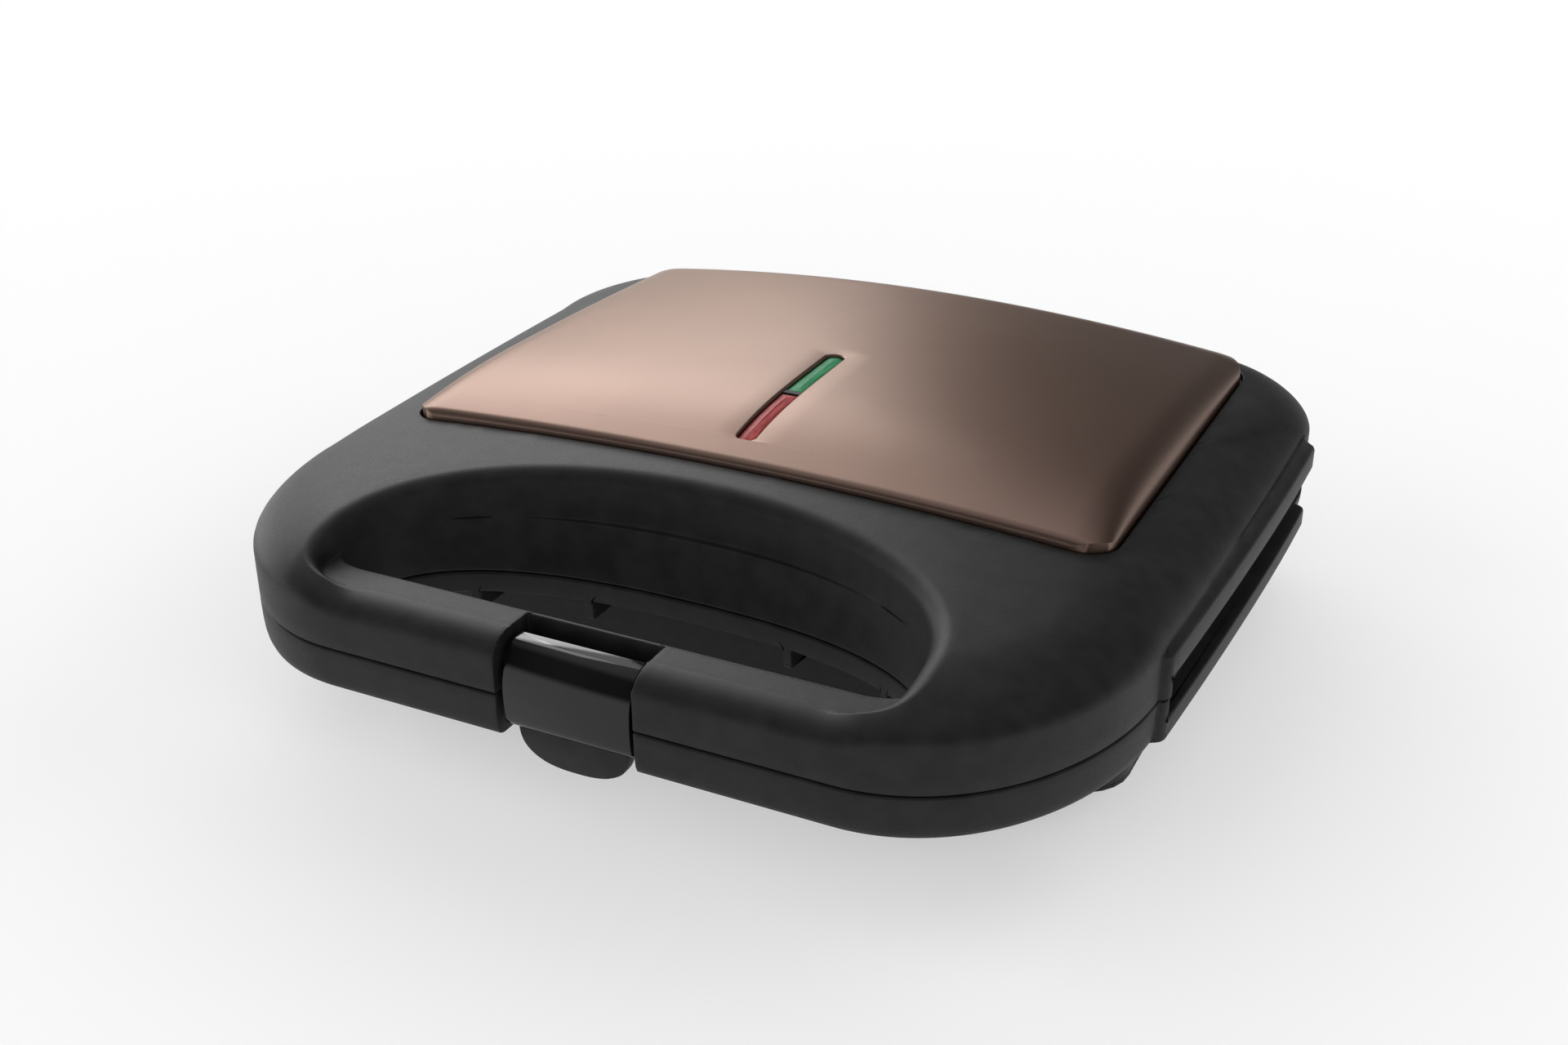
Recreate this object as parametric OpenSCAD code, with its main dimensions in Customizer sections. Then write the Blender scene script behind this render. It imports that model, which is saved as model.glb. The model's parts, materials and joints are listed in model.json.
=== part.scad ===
// Sandwich toaster with a hinged lid, a split loop handle and a swing latch.
// Drawn closed. Inside the modules y = 0 is the front face of the handle and z = 0 is the seam
// between lid and base; in_place() moves everything so that the origin is on the table.

/* [Body] */
// Width of both housings at the back of the seam
body_w = 259; // [256:1:262]
// Depth of both housings from the handle's front face
body_d = 246; // [244:1:248]
// Height of the seam above the table
seam_h = 43; // [41:1:46]
// Height of the handle half that the base carries
base_handle_h = 12.3; // [11:0.1:13]
// Height of the handle half that the lid carries
lid_handle_h = 14.8; // [14:0.1:15.5]
// Gap between lid and base all the way round the seam
seam_gap = 0.3; // [0.2:0.1:0.5]

/* [Handle] */
// Width of the straight part of the handle's front
handle_flat_w = 140; // [132:1:144]
// Depth of the handle bar, front to back
bar_d = 18; // [17:0.5:19]
// Width of the finger opening at the seam
finger_w = 158; // [154:1:160]
// Distance from the handle's front to the back of the finger opening at the seam
finger_back = 61; // [60:0.5:62]
// Width of the notch that holds the latch
notch_w = 38.4; // [37:0.2:40]

/* [Lid] */
// Height of the lid's shoulder where its curve starts, above the seam
shoulder_h = 12.5; // [11:0.5:13]
// Width over which the lid's edge curves over
edge_run = 24; // [22:1:25]
// The same width along the back, where the edge is tighter
back_run = 11; // [10:0.5:12]
// Rounding of the finger opening's upper rim
rim_r = 5; // [3:0.5:6]

/* [Trim cover] */
// Width of the metal trim cover
trim_w = 210; // [206:1:212]
// Depth of the metal trim cover
trim_d = 150; // [148:1:152]
// Height of the cover's crown above the seam
trim_crown = 36.8; // [35.5:0.1:38]
// Thickness of the cover
trim_t = 1.4; // [1:0.1:1.8]
// Dark gap round the cover
trim_gap = 0.9; // [0.6:0.1:1.2]

/* [Side lips] */
// Overall width over the side lips
lips_w = 265.6; // [264:0.2:267]
// Height of the slot between seam and lid lip
lip_slot_h = 5.5; // [5:0.5:6]
// Height of the lid's lip
lip_h = 7.1; // [6:0.1:8]

/* [Cooking plates] */
// Width of each cooking plate
plate_w = 234; // [230:1:235]
// Depth of each cooking plate
plate_d = 148; // [146:1:149]
// Depth of the sandwich pockets
pocket_depth = 8.5; // [7:0.5:8.5]
// Wall of the plates
plate_t = 2.2; // [1.8:0.1:2.2]

/* [Hinge and latch] */
// Diameter of the hinge pins
hinge_pin_d = 4; // [3.5:0.1:4.5]
// Diameter of the latch pin
latch_pin_d = 3; // [2.5:0.1:3.2]
// Radial clearance of the turning fits
turn_fit = 0.08; // [0.05:0.01:0.1]

/* [Hidden] */
$fn = 48;

// ---- places in the drawing frame (y from the handle's front, z from the seam) ----
hinge_y = body_d + 6;
hinge_z = -1;
knuckle_r = 5;
overall_d = hinge_y + knuckle_r;
half_w = body_w / 2;
half_flat = handle_flat_w / 2;
corner_w = 56;                       // half width of the big front corner ellipse
corner_d = 72;                       // depth of the big front corner ellipse
rear_corner_r = 36;
side_front = half_flat + corner_w;   // half width where the front corner ends
trim_front = 86;
trim_back = trim_front + trim_d;
trim_half = trim_w / 2;
trim_seat = 20.5;                    // height of the pocket that the trim cover stands in
slot_front = 94.5;                   // indicator window
slot_back = 156.5;
slot_half_w = 2.9;
tub_half_w = 116;
tub_front = 71;
tub_back = body_d - 6;
tub_wall = 2.5;
tub_bottom = -34;
tub_corner = 14;
undercut_front = 32;                 // space behind the finger opening, under its rim
undercut_half = 86;
finger_rim_h = 6.3;                  // height of the base's rim round the finger opening
base_slot_h = 6;                     // slot between the base's lip and the seam
foot_bottom = -seam_h;
cover_bottom = foot_bottom + 6;
plate_front = 83.5;
plate_back = plate_front + plate_d;
plate_half = plate_w / 2;
plate_gap = 0.3;                     // lower plate's rim below the seam, upper plate's above it
plate_flange = 4;
plate_corner = 18;
latch_y = 9;                         // axis of the latch
latch_z = 6.2;
ridge_front = 16;                    // thin wall left behind the latch notch
finger_corner_r = 11;                // front corners of the finger opening
bar_wall_h = 9;                      // upright part of the bar's front, above the seam
bar_roll = 8;                        // depth of the bar's front roll in the middle
bar_roll_end = 6;                    // the same at the bar's ends
blend_w = 21;                        // width over which the bar's ends rise into the crowned body
deck_top = 29.3;                     // crown of the lid under the trim cover
deck_bow = 4.2e-4;                   // how its height falls with x squared,
deck_front_fall = 7e-4;              // with the square of the distance ahead of the trim cover,
deck_back_fall = 0.013;              // and with the distance behind the cover's front
element_r = 2.9;
element_z = plate_gap + pocket_depth + plate_t + element_r + 0.1;  // height of both tubes from the seam
boss_y = 52;                         // screw bosses of the plates, from the plates' middle
boss_r = 4;
boss_h = 9;
clamp_screw_r = 1.9;
clamp_head_r = 3.6;
tray_z = element_z + element_r + 0.3;  // sheet trays that reflect the heat, height from the seam
tray_t = 0.6;
tray_half = 104;
tray_inset = 9.5;                    // from the plates' front and back edges
tray_corner = 10;
plate_room_top = 11.5;               // height in the lid of the opening for its plate
element_room_top = tray_z + 1.7;     // and of the room for element and tray
gland_x = -52;                       // gland of the cord, in the tub's back wall
gland_z = -22;
gland_r = 5.5;
gland_collar_t = 1.4;
cord_hole_r = 3.6;
post_x = 103;                        // screw posts that hold the bottom cover
post_y = [82, 229];
post_r = 4;
post_seam = tub_bottom + 7;          // where the cover's posts meet the base's
cover_screw_r = 1.7;
cover_screw_top = tub_bottom + 15;
screw_head_r = 3.5;
foot_x = 86;
foot_y = [97, 212];
foot_r = 7.8;

// ---- helpers ----
function lerp(a, b, t) = a + (b - a) * t;
function smooth(t) = let(s = max(0, min(1, t))) s * s * (3 - 2 * s);
function unit(v) = v / norm(v);
// Closed ring from the right half, which runs from front centre to back centre
function both_halves(h) = concat(h, [for (i = [len(h) - 2:-1:1]) [-h[i][0], h[i][1]]]);
// Outward normals of a ring that runs anticlockwise seen from above
function ring_normals(r) = [for (i = [0:len(r) - 1])
    let(t = r[(i + 1) % len(r)] - r[(i + len(r) - 1) % len(r)]) unit([t[1], -t[0]])];
function at_z(ring, z) = [for (p = ring) [p[0], p[1], z]];
// Rounded rectangle, anticlockwise, n steps a corner
function rounded(x0, x1, y0, y1, r, n = 6) = [
    for (c = [[x1 - r, y0 + r, -90], [x1 - r, y1 - r, 0], [x0 + r, y1 - r, 90], [x0 + r, y0 + r, 180]])
        for (i = [0:n]) [c[0] + r * cos(c[2] + 90 * i / n), c[1] + r * sin(c[2] + 90 * i / n)]];

// A stack of rings whose last ring joins the first, so that it closes round a hole
module ring_body(rings) {
    n = len(rings[0]);
    m = len(rings);
    polyhedron(points = [for (r = rings) each r],
        faces = [for (j = [0:m - 1]) for (i = [0:n - 1])
            let(a = j * n + i, b = j * n + (i + 1) % n,
                c = ((j + 1) % m) * n + (i + 1) % n, d = ((j + 1) % m) * n + i)
            each [[a, c, b], [a, d, c]]]);
}

module slab(outline, z0, z1) translate([0, 0, z0]) linear_extrude(z1 - z0) polygon(outline);
module x_rod(x0, x1, y, z, r) translate([x0, y, z]) rotate([0, 90, 0]) cylinder(h = x1 - x0, r = r);
module x_profile(x0, x1, yz) translate([x0, 0, 0]) rotate([90, 0, 90]) linear_extrude(x1 - x0) polygon(yz);
module z_rod(x, y, z0, z1, r) translate([x, y, z0]) cylinder(h = z1 - z0, r = r);
module both_sides() for (s = [0, 1]) mirror([s, 0, 0]) children();
module in_place() translate([0, -overall_d / 2, seam_h]) children();
module at_posts() for (sx = [-1, 1]) for (y = post_y) translate([sx * post_x, y, 0]) children();
module at_feet() for (sx = [-1, 1]) for (y = foot_y) translate([sx * foot_x, y, 0]) children();
module at_bosses() for (s = [-1, 1]) translate([0, plate_mid_y + s * boss_y, 0]) children();

// ---- seam outline: straight front, elliptic corners, sides that widen to the back ----
n_front = 8;
n_corner = 16;
n_side = 7;
n_rear = 5;
n_back = 6;
side_back = body_d - rear_corner_r;
outline_half = concat(
    [for (i = [0:n_front - 1]) [half_flat * i / n_front, 0]],
    [for (i = [0:n_corner - 1]) let(a = -90 + 90 * i / n_corner)
        [half_flat + corner_w * cos(a), corner_d * (1 + sin(a))]],
    [for (i = [0:n_side - 1]) let(t = i / n_side)
        [lerp(side_front, half_w, 1 - (1 - t) * (1 - t)), lerp(corner_d, side_back, t)]],
    [for (i = [0:n_rear - 1]) let(a = 90 * i / n_rear)
        [half_w - rear_corner_r * (1 - cos(a)), side_back + rear_corner_r * sin(a)]],
    [for (i = [0:n_back]) [(half_w - rear_corner_r) * (1 - i / n_back), body_d]]);
outline = both_halves(outline_half);
outline_n = ring_normals(outline);

// ---- finger opening: straight front, superelliptic back, stepped like the outline ----
finger_corner_y = bar_d + 6;
n_finger_corner = 6;
// Angle along the opening's back for each point of the outline after the front corner
finger_angles = concat(
    [for (i = [0:n_corner - n_finger_corner - 1]) 22 * i / (n_corner - n_finger_corner)],
    [for (i = [0:n_side - 1]) lerp(22, 45, i / n_side)],
    [for (i = [0:n_rear - 1]) lerp(45, 60, i / n_rear)],
    [for (i = [0:n_back]) lerp(60, 90, i / n_back)]);
function finger_half(w, front, back, power) = concat(
    [for (i = [0:n_front - 1]) [(w - finger_corner_r) * i / n_front, front]],
    [for (i = [0:n_finger_corner - 1]) let(a = -90 + 90 * i / n_finger_corner)
        [w - finger_corner_r * (1 - cos(a)), finger_corner_y + (finger_corner_y - front) * sin(a)]],
    [for (a = finger_angles)
        [w * pow(cos(a), 2 / power), finger_corner_y + (back - finger_corner_y) * pow(sin(a), 2 / power)]]);
finger = both_halves(finger_half(finger_w / 2, bar_d, finger_back, 2.4));
finger_top = both_halves(finger_half(finger_w / 2 + 2, bar_d - 0.6, finger_back + 10, 2.1));
finger_n = ring_normals(finger);

// ---- ridge: where the outer skin ends, at the bar's front roll and round the finger opening ----
ridge_reach = finger_w / 2 + 2 + rim_r - half_flat;
ridge_half = concat(
    [for (i = [0:n_front - 1]) let(x = half_flat * i / n_front)
        [x, lerp(bar_roll, bar_roll_end, smooth((x - half_flat + 12) / 12))]],
    [for (i = [0:n_finger_corner - 1]) let(a = -90 + 90 * i / n_finger_corner)
        [half_flat + ridge_reach * pow(cos(a), 2 / 2.8),
            finger_corner_y - (finger_corner_y - bar_roll_end) * pow(-sin(a), 2 / 2.8)]],
    [for (i = [n_front + n_finger_corner:len(outline_half) - 1]) finger_top[i] + finger_n[i] * rim_r]);
ridge = both_halves(ridge_half);
ridge_n = ring_normals(ridge);

// ---- height of the lid's skin ----
// 0 on the handle bar, 1 on the crowned body
function on_crown(p) = p[1] > finger_corner_y ? 1 : smooth((abs(p[0]) - half_flat + 6) / blend_w);
function crown(p) = deck_top - deck_bow * p[0] * p[0]
    - deck_front_fall * pow(max(0, trim_front - p[1]), 2) - deck_back_fall * max(0, p[1] - trim_front);
function skin(p, start, normal) = let(
    q = on_crown(p),
    q0 = on_crown(start),
    deck = lerp(lid_handle_h, crown(p), q),
    back = pow(max(0, normal[1]), 2),
    wall = lerp(lerp(bar_wall_h, shoulder_h, q0), back_shoulder_h, back),
    run = lerp(lerp(bar_roll, edge_run, q0), back_run, back),
    d = max(0, (start - p) * normal))
    wall + (deck - wall) * sqrt(1 - pow(1 - min(1, d / run), 2));

back_shoulder_h = shoulder_h + 3.5;
edge_steps = [[0, 0], [0.8, 0.03], [2.5, 0.09], [5.5, 0.2], [10, 0.36], [16, 0.5], [24, 0.6]];
lid_bottom = seam_gap / 2;
base_top = -seam_gap / 2;

// The finger opening's wall leans out towards its upper rim
function opening_wall(i, z, z_ridge) = let(t = (z - lid_bottom) / (z_ridge - rim_r - lid_bottom))
    lerp(finger[i], finger_top[i], max(0, min(1, t)));

// Points from the seam up the outside, over the skin to the ridge, down onto the bar's flat top, and
// down the finger opening. Behind the bar the foot and the edge of that top lie on the opening's wall.
function lid_column(i) = let(
    o = outline[i],
    on = outline_n[i],
    top = ridge[i],
    run = top - o,
    len_run = norm(run),
    z_top = skin(top, o, on),
    r = max(0.3, min(rim_r, 0.7 * (z_top - lid_handle_h) + 0.3)),
    lean = lookup(r, [[0.3, 20], [2, 72], [rim_r, 84]]),
    reach = [for (s = edge_steps) min(s[0], s[1] * len_run) / len_run],
    last = reach[len(reach) - 1],
    edge = [for (t = reach) let(p = o + run * t) [p[0], p[1], skin(p, o, on)]],
    deck = [for (t = [0.3, 0.6, 0.82, 1]) let(p = o + run * lerp(last, 1, t)) [p[0], p[1], skin(p, o, on)]],
    rim = [for (k = [1:3]) let(a = lean * k / 3, p = top - ridge_n[i] * (r * sin(a) + (r < 1 ? 0.25 * k : 0)))
        [p[0], p[1], z_top - r * (1 - cos(a))]],
    end = [rim[2][0], rim[2][1]],
    shelf = opening_wall(i, lid_handle_h, z_top),
    foot = lerp(end, shelf, min(1, 1.6 / norm(shelf - end))))
    concat([[o[0], o[1], lid_bottom]], edge, deck, rim, [[foot[0], foot[1], lid_handle_h],
        [shelf[0], shelf[1], lid_handle_h - 0.3], [finger[i][0], finger[i][1], lid_bottom]]);

lid_columns = [for (i = [0:len(outline) - 1]) lid_column(i)];
lid_rings = [for (j = [0:len(lid_columns[0]) - 1]) [for (c = lid_columns) c[j]]];

// Base handle ring: (inset, height) up the outside, then down the finger opening
base_steps = [[2.6, -base_handle_h], [0.9, -11.3], [0.2, -8.5], [0, base_top]];
base_rings = concat(
    [for (s = base_steps) [for (i = [0:len(outline) - 1])
        let(p = outline[i] - outline_n[i] * s[0]) [p[0], p[1], s[1]]]],
    [at_z(finger, base_top),
     [for (i = [0:len(finger) - 1]) let(p = finger[i] + finger_n[i] * 0.8) [p[0], p[1], -base_handle_h]]]);

// ---- side lips ----
lip_front = 66.6;
lip_back = 208;
lip_bar = 5.2;
lip_root = 120;
// The lips bulge slowly from the side wall to their widest place near the back
function lip_x(y) = lips_w / 2 - 4.8 * pow(max(0, (190 - y) / (190 - lip_front)), 1.6);
function lip_plan(inset, y0, y1) = concat([[lip_root, y0]],
    [for (i = [0:8]) let(y = lerp(y0, y1, i / 8)) [lip_x(y) - inset, y]], [[lip_root, y1]]);

module lid_lip() {
    slab(lip_plan(0, lip_front, lip_back), lip_slot_h, lip_slot_h + lip_h);
    slab(lip_plan(1.2, lip_front + 1, lip_back - 1), lip_slot_h + lip_h - 0.01, lip_slot_h + lip_h + 1);
    slab(lip_plan(0, lip_front, lip_front + lip_bar), lid_bottom, lip_slot_h + 0.01);
}

base_lip_back = 204;
module base_lip() {
    slab(lip_plan(0.3, lip_front, base_lip_back), -base_handle_h + 0.4, -base_slot_h);
    slab(lip_plan(0.3, lip_front, lip_front + lip_bar), -base_slot_h - 0.01, base_top);
}

// Open slot between the lips, running out at the back
module side_slot(z0, z1) translate([half_w - 6, lip_front + lip_bar, z0]) cube([20, body_d, z1 - z0]);

// ---- hinge knuckles: two on the base with one of the lid between them, on each side ----
hinge_inner = 66;
hinge_outer = 100;
knuckle_w = 18;
knuckle_in = (hinge_inner + hinge_outer - knuckle_w) / 2;
knuckle_out = knuckle_in + knuckle_w;
side_play = 0.35;

module base_knuckle(x0, x1) {
    x_rod(x0, x1, hinge_y, hinge_z, knuckle_r);
    x_profile(x0, x1, [[body_d - 3, -9.5], [hinge_y + 1, -5], [hinge_y, hinge_z], [body_d - 3, hinge_z - 0.5]]);
}

module lid_knuckle() {
    x_rod(knuckle_in, knuckle_out, hinge_y, hinge_z, knuckle_r);
    x_profile(knuckle_in, knuckle_out,
        [[body_d - 4, lid_bottom + 0.2], [hinge_y - 3, lid_bottom + 0.2], [hinge_y + 3, 2.5], [body_d - 2, 9]]);
}

// ---- base body ----
plate_floor = -plate_flange - 0.6;   // shelf that the lower plate's flange lies on
rib_x = [-61, -30, 30, 61];          // ribs behind the finger opening
rib_t = 2.4;
module tub_plan(inset, z0, z1) slab(rounded(-tub_half_w + inset, tub_half_w - inset, tub_front + inset,
    tub_back - inset, tub_corner - inset), z0, z1);
module plate_opening(z0, z1)
    slab(rounded(-plate_half - 1, plate_half + 1, plate_front - 1, plate_back + 1, plate_corner + 1), z0, z1);

// Screw posts of the base, each tied to the tub's wall by a rib
module base_posts() difference() {
    at_posts() z_rod(0, 0, post_seam, plate_floor - 0.01, post_r);
    at_posts() z_rod(0, 0, post_seam - 1, cover_screw_top, cover_screw_r);
}
module base_post_ribs() for (y = post_y) let(front = y < plate_mid_y)
    both_sides() translate([post_x - rib_t / 2, front ? tub_front + 1 : y + post_r - 1, post_seam])
        cube([rib_t, front ? y - post_r - tub_front : tub_back - y - post_r, plate_floor - post_seam - 0.01]);

// Space behind the finger opening and under the rim, with its ribs left standing
module undercut() difference() {
    slab(concat([for (p = finger) if (p[1] > undercut_front) p],
        [[-undercut_half, undercut_front], [-undercut_half, tub_front - 0.01],
         [undercut_half, tub_front - 0.01], [undercut_half, undercut_front]]),
        -base_handle_h - 1, -finger_rim_h);
    for (x = rib_x) translate([x - rib_t / 2, undercut_front - 8, -base_handle_h - 2])
        cube([rib_t, tub_front, base_handle_h]);
}

module base_housing() color("#1b1b1c") in_place() {
    difference() {
        union() {
            ring_body(base_rings);
            tub_plan(0, tub_bottom, -5);
            both_sides() base_lip();
            both_sides() {
                base_knuckle(hinge_inner, knuckle_in - side_play);
                base_knuckle(knuckle_out + side_play, hinge_outer);
            }
        }
        plate_opening(plate_floor, 5);
        tub_plan(tub_wall, tub_bottom - 1, plate_floor + 0.01);
        undercut();
        both_sides() side_slot(-base_slot_h, 2);
        translate([-notch_w / 2, -2, -base_handle_h - 2]) cube([notch_w, ridge_front + 2, base_handle_h + 4]);
        both_sides() x_rod(hinge_inner - 0.5, hinge_outer + 0.5, hinge_y, hinge_z, hinge_pin_d / 2);
        translate([gland_x, tub_back + 8, gland_z]) rotate([90, 0, 0]) cylinder(h = 14, r = gland_r);
    }
    base_posts();
    base_post_ribs();
}

// Ledge on the base's thin wall that the latch snaps over
module latch_catch() color("#1b1b1c") in_place()
    x_profile(-11, 11, [[ridge_front, -10.2], [14.1, -9.4], [14.1, -8.2], [ridge_front, -6.2]]);

// Rubber gland with a collar on each side of the tub's wall
module cord_gland() color("#141414") in_place() translate([gland_x, tub_back, gland_z]) rotate([-90, 0, 0])
    difference() {
        union() {
            translate([0, 0, -tub_wall - gland_collar_t]) cylinder(h = gland_collar_t, r = gland_r + 1.5);
            translate([0, 0, -tub_wall - 0.01]) cylinder(h = tub_wall + 0.02, r = gland_r);
            cylinder(h = 3, r1 = gland_r + 2, r2 = gland_r + 0.5);
        }
        translate([0, 0, -6]) cylinder(h = 12, r = cord_hole_r);
    }

// Cover that closes the tub from below, with sunk screw heads, seats for the feet and vent slots
screw_sink = 1.6;
vent_rows = [125, 175];
vent_pitch = 12;
module bottom_cover() color("#161617") in_place() difference() {
    union() {
        hull() {
            tub_plan(0, tub_bottom - 1, tub_bottom);
            tub_plan(3, cover_bottom, cover_bottom + 1);
        }
        at_posts() z_rod(0, 0, tub_bottom - 1, post_seam, post_r);
    }
    at_posts() {
        z_rod(0, 0, cover_bottom - 1, post_seam + 1, cover_screw_r + 0.05);
        z_rod(0, 0, cover_bottom - 1, cover_bottom + screw_sink, screw_head_r + 0.4);
    }
    at_feet() z_rod(0, 0, cover_bottom - 1, cover_bottom + 1, foot_r);
    for (y = vent_rows) for (i = [-4:4])
        translate([i * vent_pitch - 1.5, y - 12, cover_bottom - 1]) cube([3, 24, 6]);
}

module cover_screws() color("#9a9a9a") in_place() at_posts() {
    z_rod(0, 0, cover_bottom + 0.1, cover_bottom + screw_sink, screw_head_r);
    z_rod(0, 0, cover_bottom + screw_sink - 0.01, cover_screw_top, cover_screw_r);
}

module feet() color("#0e0e0e") in_place() at_feet() difference() {
    union() {
        translate([0, 0, foot_bottom]) cylinder(h = 1.5, r1 = foot_r - 1.2, r2 = foot_r);
        z_rod(0, 0, foot_bottom + 1.49, cover_bottom + 1, foot_r);
    }
    z_rod(0, 0, foot_bottom - 1, foot_bottom + 1.2, 3);
}

module hinge_pins() color("#b4b4b4") in_place()
    both_sides() x_rod(hinge_inner, hinge_outer, hinge_y, hinge_z, hinge_pin_d / 2);

// ---- cooking plates: two squares, each split into triangles by a diagonal rib ----
square_w = 102;
square_d = 126;
square_mid = plate_w / 4 - 2;
rib_w = 9;
corner_cut = 11;
plate_mid_y = (plate_front + plate_back) / 2;
// Triangle of half a square, seen from above, with blunted corners
half_square = [[-square_w / 2 + corner_cut, -square_d / 2], [square_w / 2 - rib_w - corner_cut, -square_d / 2],
    [-square_w / 2, square_d / 2 - rib_w - corner_cut], [-square_w / 2, -square_d / 2 + corner_cut]];
pocket_mid = [-square_w / 6, -square_d / 6];

// Pocket or its back: the triangle tapers towards its floor
module wedge(grow, depth) for (sx = [-1, 1]) for (turn = [0, 180])
    translate([sx * square_mid, plate_mid_y, 0]) scale([sx, 1, 1]) rotate(turn) translate(pocket_mid)
        linear_extrude(depth, scale = 0.72)
            offset(delta = grow) polygon([for (p = half_square) p - pocket_mid]);

// Plate with its cooking face at z = 0 and its pockets going up
module cooking_plate() difference() {
    union() {
        slab(rounded(-plate_half, plate_half, plate_front, plate_back, plate_corner), 0, plate_flange);
        wedge(plate_t, pocket_depth + plate_t);
        at_bosses() z_rod(0, 0, plate_flange - 1, boss_h, boss_r);
    }
    translate([0, 0, -0.01]) wedge(0, pocket_depth);
}

module lower_cooking_plate() color("#2b2b2d") in_place()
    translate([0, 0, -plate_gap]) mirror([0, 0, 1]) cooking_plate();

module upper_cooking_plate() color("#2b2b2d") in_place()
    translate([0, 0, plate_gap]) cooking_plate();

// Tube bent into a long U, with both cold ends on the left
element_half_x = 84;
element_bend = 40;
module heating_element() translate([0, plate_mid_y, element_z]) {
    for (s = [-1, 1]) x_rod(-element_half_x, element_half_x - element_bend, s * element_bend, 0, element_r);
    translate([element_half_x - element_bend, 0, 0]) rotate([0, 0, -90])
        rotate_extrude(angle = 180) translate([element_bend, 0]) circle(r = element_r);
    for (s = [-1, 1]) x_rod(-element_half_x - 9, -element_half_x, s * element_bend, 0, 1.6);
}

module lower_heating_element() color("#8c8a86") in_place() mirror([0, 0, 1]) heating_element();
module upper_heating_element() color("#8c8a86") in_place() heating_element();

// Folded tray behind the element
module tray(inset, z0, z1) slab(rounded(-tray_half + inset, tray_half - inset,
    plate_front + tray_inset + inset, plate_back - tray_inset - inset, tray_corner - inset), z0, z1);
module reflector() difference() {
    tray(0, tray_z - 4, tray_z + tray_t);
    tray(tray_t, tray_z - 5, tray_z);
    at_bosses() z_rod(0, 0, tray_z - 1, tray_z + 2, clamp_screw_r + 0.2);
}
module lower_heat_reflector() color("#c2c4c6") in_place() mirror([0, 0, 1]) reflector();
module upper_heat_reflector() color("#c2c4c6") in_place() reflector();

// Screws that clamp the tray to the bosses of the plate
module plate_screw_pair() at_bosses() {
    z_rod(0, 0, boss_h + plate_gap, tray_z + tray_t + 0.1, clamp_screw_r);
    z_rod(0, 0, tray_z + tray_t + 0.01, tray_z + tray_t + 0.91, clamp_head_r);
}
module lower_plate_screws() color("#a8a8a8") in_place() mirror([0, 0, 1]) plate_screw_pair();
module upper_plate_screws() color("#a8a8a8") in_place() plate_screw_pair();

module thermostat() color("#d8cdb4") in_place() translate([0, plate_mid_y, -tray_z + 0.1]) {
    cylinder(h = 5.6, r = 8);
    for (s = [-1, 1]) translate([s * 9 - 2.5, -3, 1.4]) cube([5, 6, 1.2]);
}

module thermal_fuse() color("#d9d2c2") in_place() x_rod(-12, 12, plate_mid_y + 18, element_z - 0.3, 2.2);

module terminal_block() color("#e6e0d2") in_place() translate([-40, 206, tub_bottom + 0.2]) difference() {
    cube([28, 16, 9]);
    for (x = [5, 14, 23]) translate([x, -1, 5.5]) rotate([-90, 0, 0]) cylinder(h = 20, r = 1.6);
}

// ---- lid body ----
trim_corner = 8;
trim_rear_corner = 14;
n_trim_corner = 5;
n_trim_side = 8;
n_trim_front = 8;
function trim_half_plan(w, y0, y1, rf, rb) = concat(
    [for (i = [0:n_trim_front - 1]) [(w - rf) * i / n_trim_front, y0]],
    [for (i = [0:n_trim_corner - 1]) let(a = -90 + 90 * i / n_trim_corner)
        [w - rf + rf * cos(a), y0 + rf + rf * sin(a)]],
    [for (i = [0:n_trim_side - 1]) [w, lerp(y0 + rf, y1 - rb, i / n_trim_side)]],
    [for (i = [0:n_trim_corner - 1]) let(a = 90 * i / n_trim_corner)
        [w - rb + rb * cos(a), y1 - rb + rb * sin(a)]],
    [for (i = [0:n_trim_front]) [(w - rb) * (1 - i / n_trim_front), y1]]);
function trim_plan(grow) = both_halves(trim_half_plan(trim_half + grow, trim_front - grow, trim_back + grow,
    trim_corner + grow, trim_rear_corner + grow));

module lid_housing() color("#1d1d1e") in_place() difference() {
    union() {
        ring_body(lid_rings);
        both_sides() lid_lip();
        both_sides() lid_knuckle();
    }
    // room for the plate, and above it for the element
    plate_opening(-8, plate_room_top);
    tray(-3.5, plate_room_top - 0.01, element_room_top);
    // pocket for the trim cover
    slab(trim_plan(trim_gap), trim_seat, 60);
    both_sides() side_slot(-2, lip_slot_h);
    translate([-notch_w / 2, -2, -2]) cube([notch_w, ridge_front + 2, 30]);
    x_rod(-notch_w / 2 - 5, notch_w / 2 + 5, latch_y, latch_z, latch_pin_d / 2);
    both_sides() x_rod(knuckle_in - 1, knuckle_out + 1, hinge_y, hinge_z, hinge_pin_d / 2 + turn_fit);
}

// Crown of the trim cover, and how far its edge rolls down
function trim_height(p) = let(
    y = p[1],
    ahead = max(0, (140 - y) / 54),
    behind = max(0, (y - 140) / 96),
    bend = 3.6e-4 + 3.4e-4 * (y - trim_front) / trim_d)
    trim_crown - 4.3 * pow(ahead, 3) - 3.1 * behind * behind - bend * p[0] * p[0];
function trim_roll(p) = let(
    side = max(0, 1 - (trim_half - abs(p[0])) / 9),
    front = max(0, 1 - (p[1] - trim_front) / 3),
    back = max(0, 1 - (trim_back - p[1]) / 7))
    3.2 * (1 - sqrt(1 - pow(min(1, side), 2))) + 1.6 * (1 - sqrt(1 - pow(min(1, front), 2)))
    + 3 * (1 - sqrt(1 - pow(min(1, back), 2)));
function trim_skin(p, drop) = [p[0], p[1], trim_height(p) - trim_roll(p) - drop];

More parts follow.
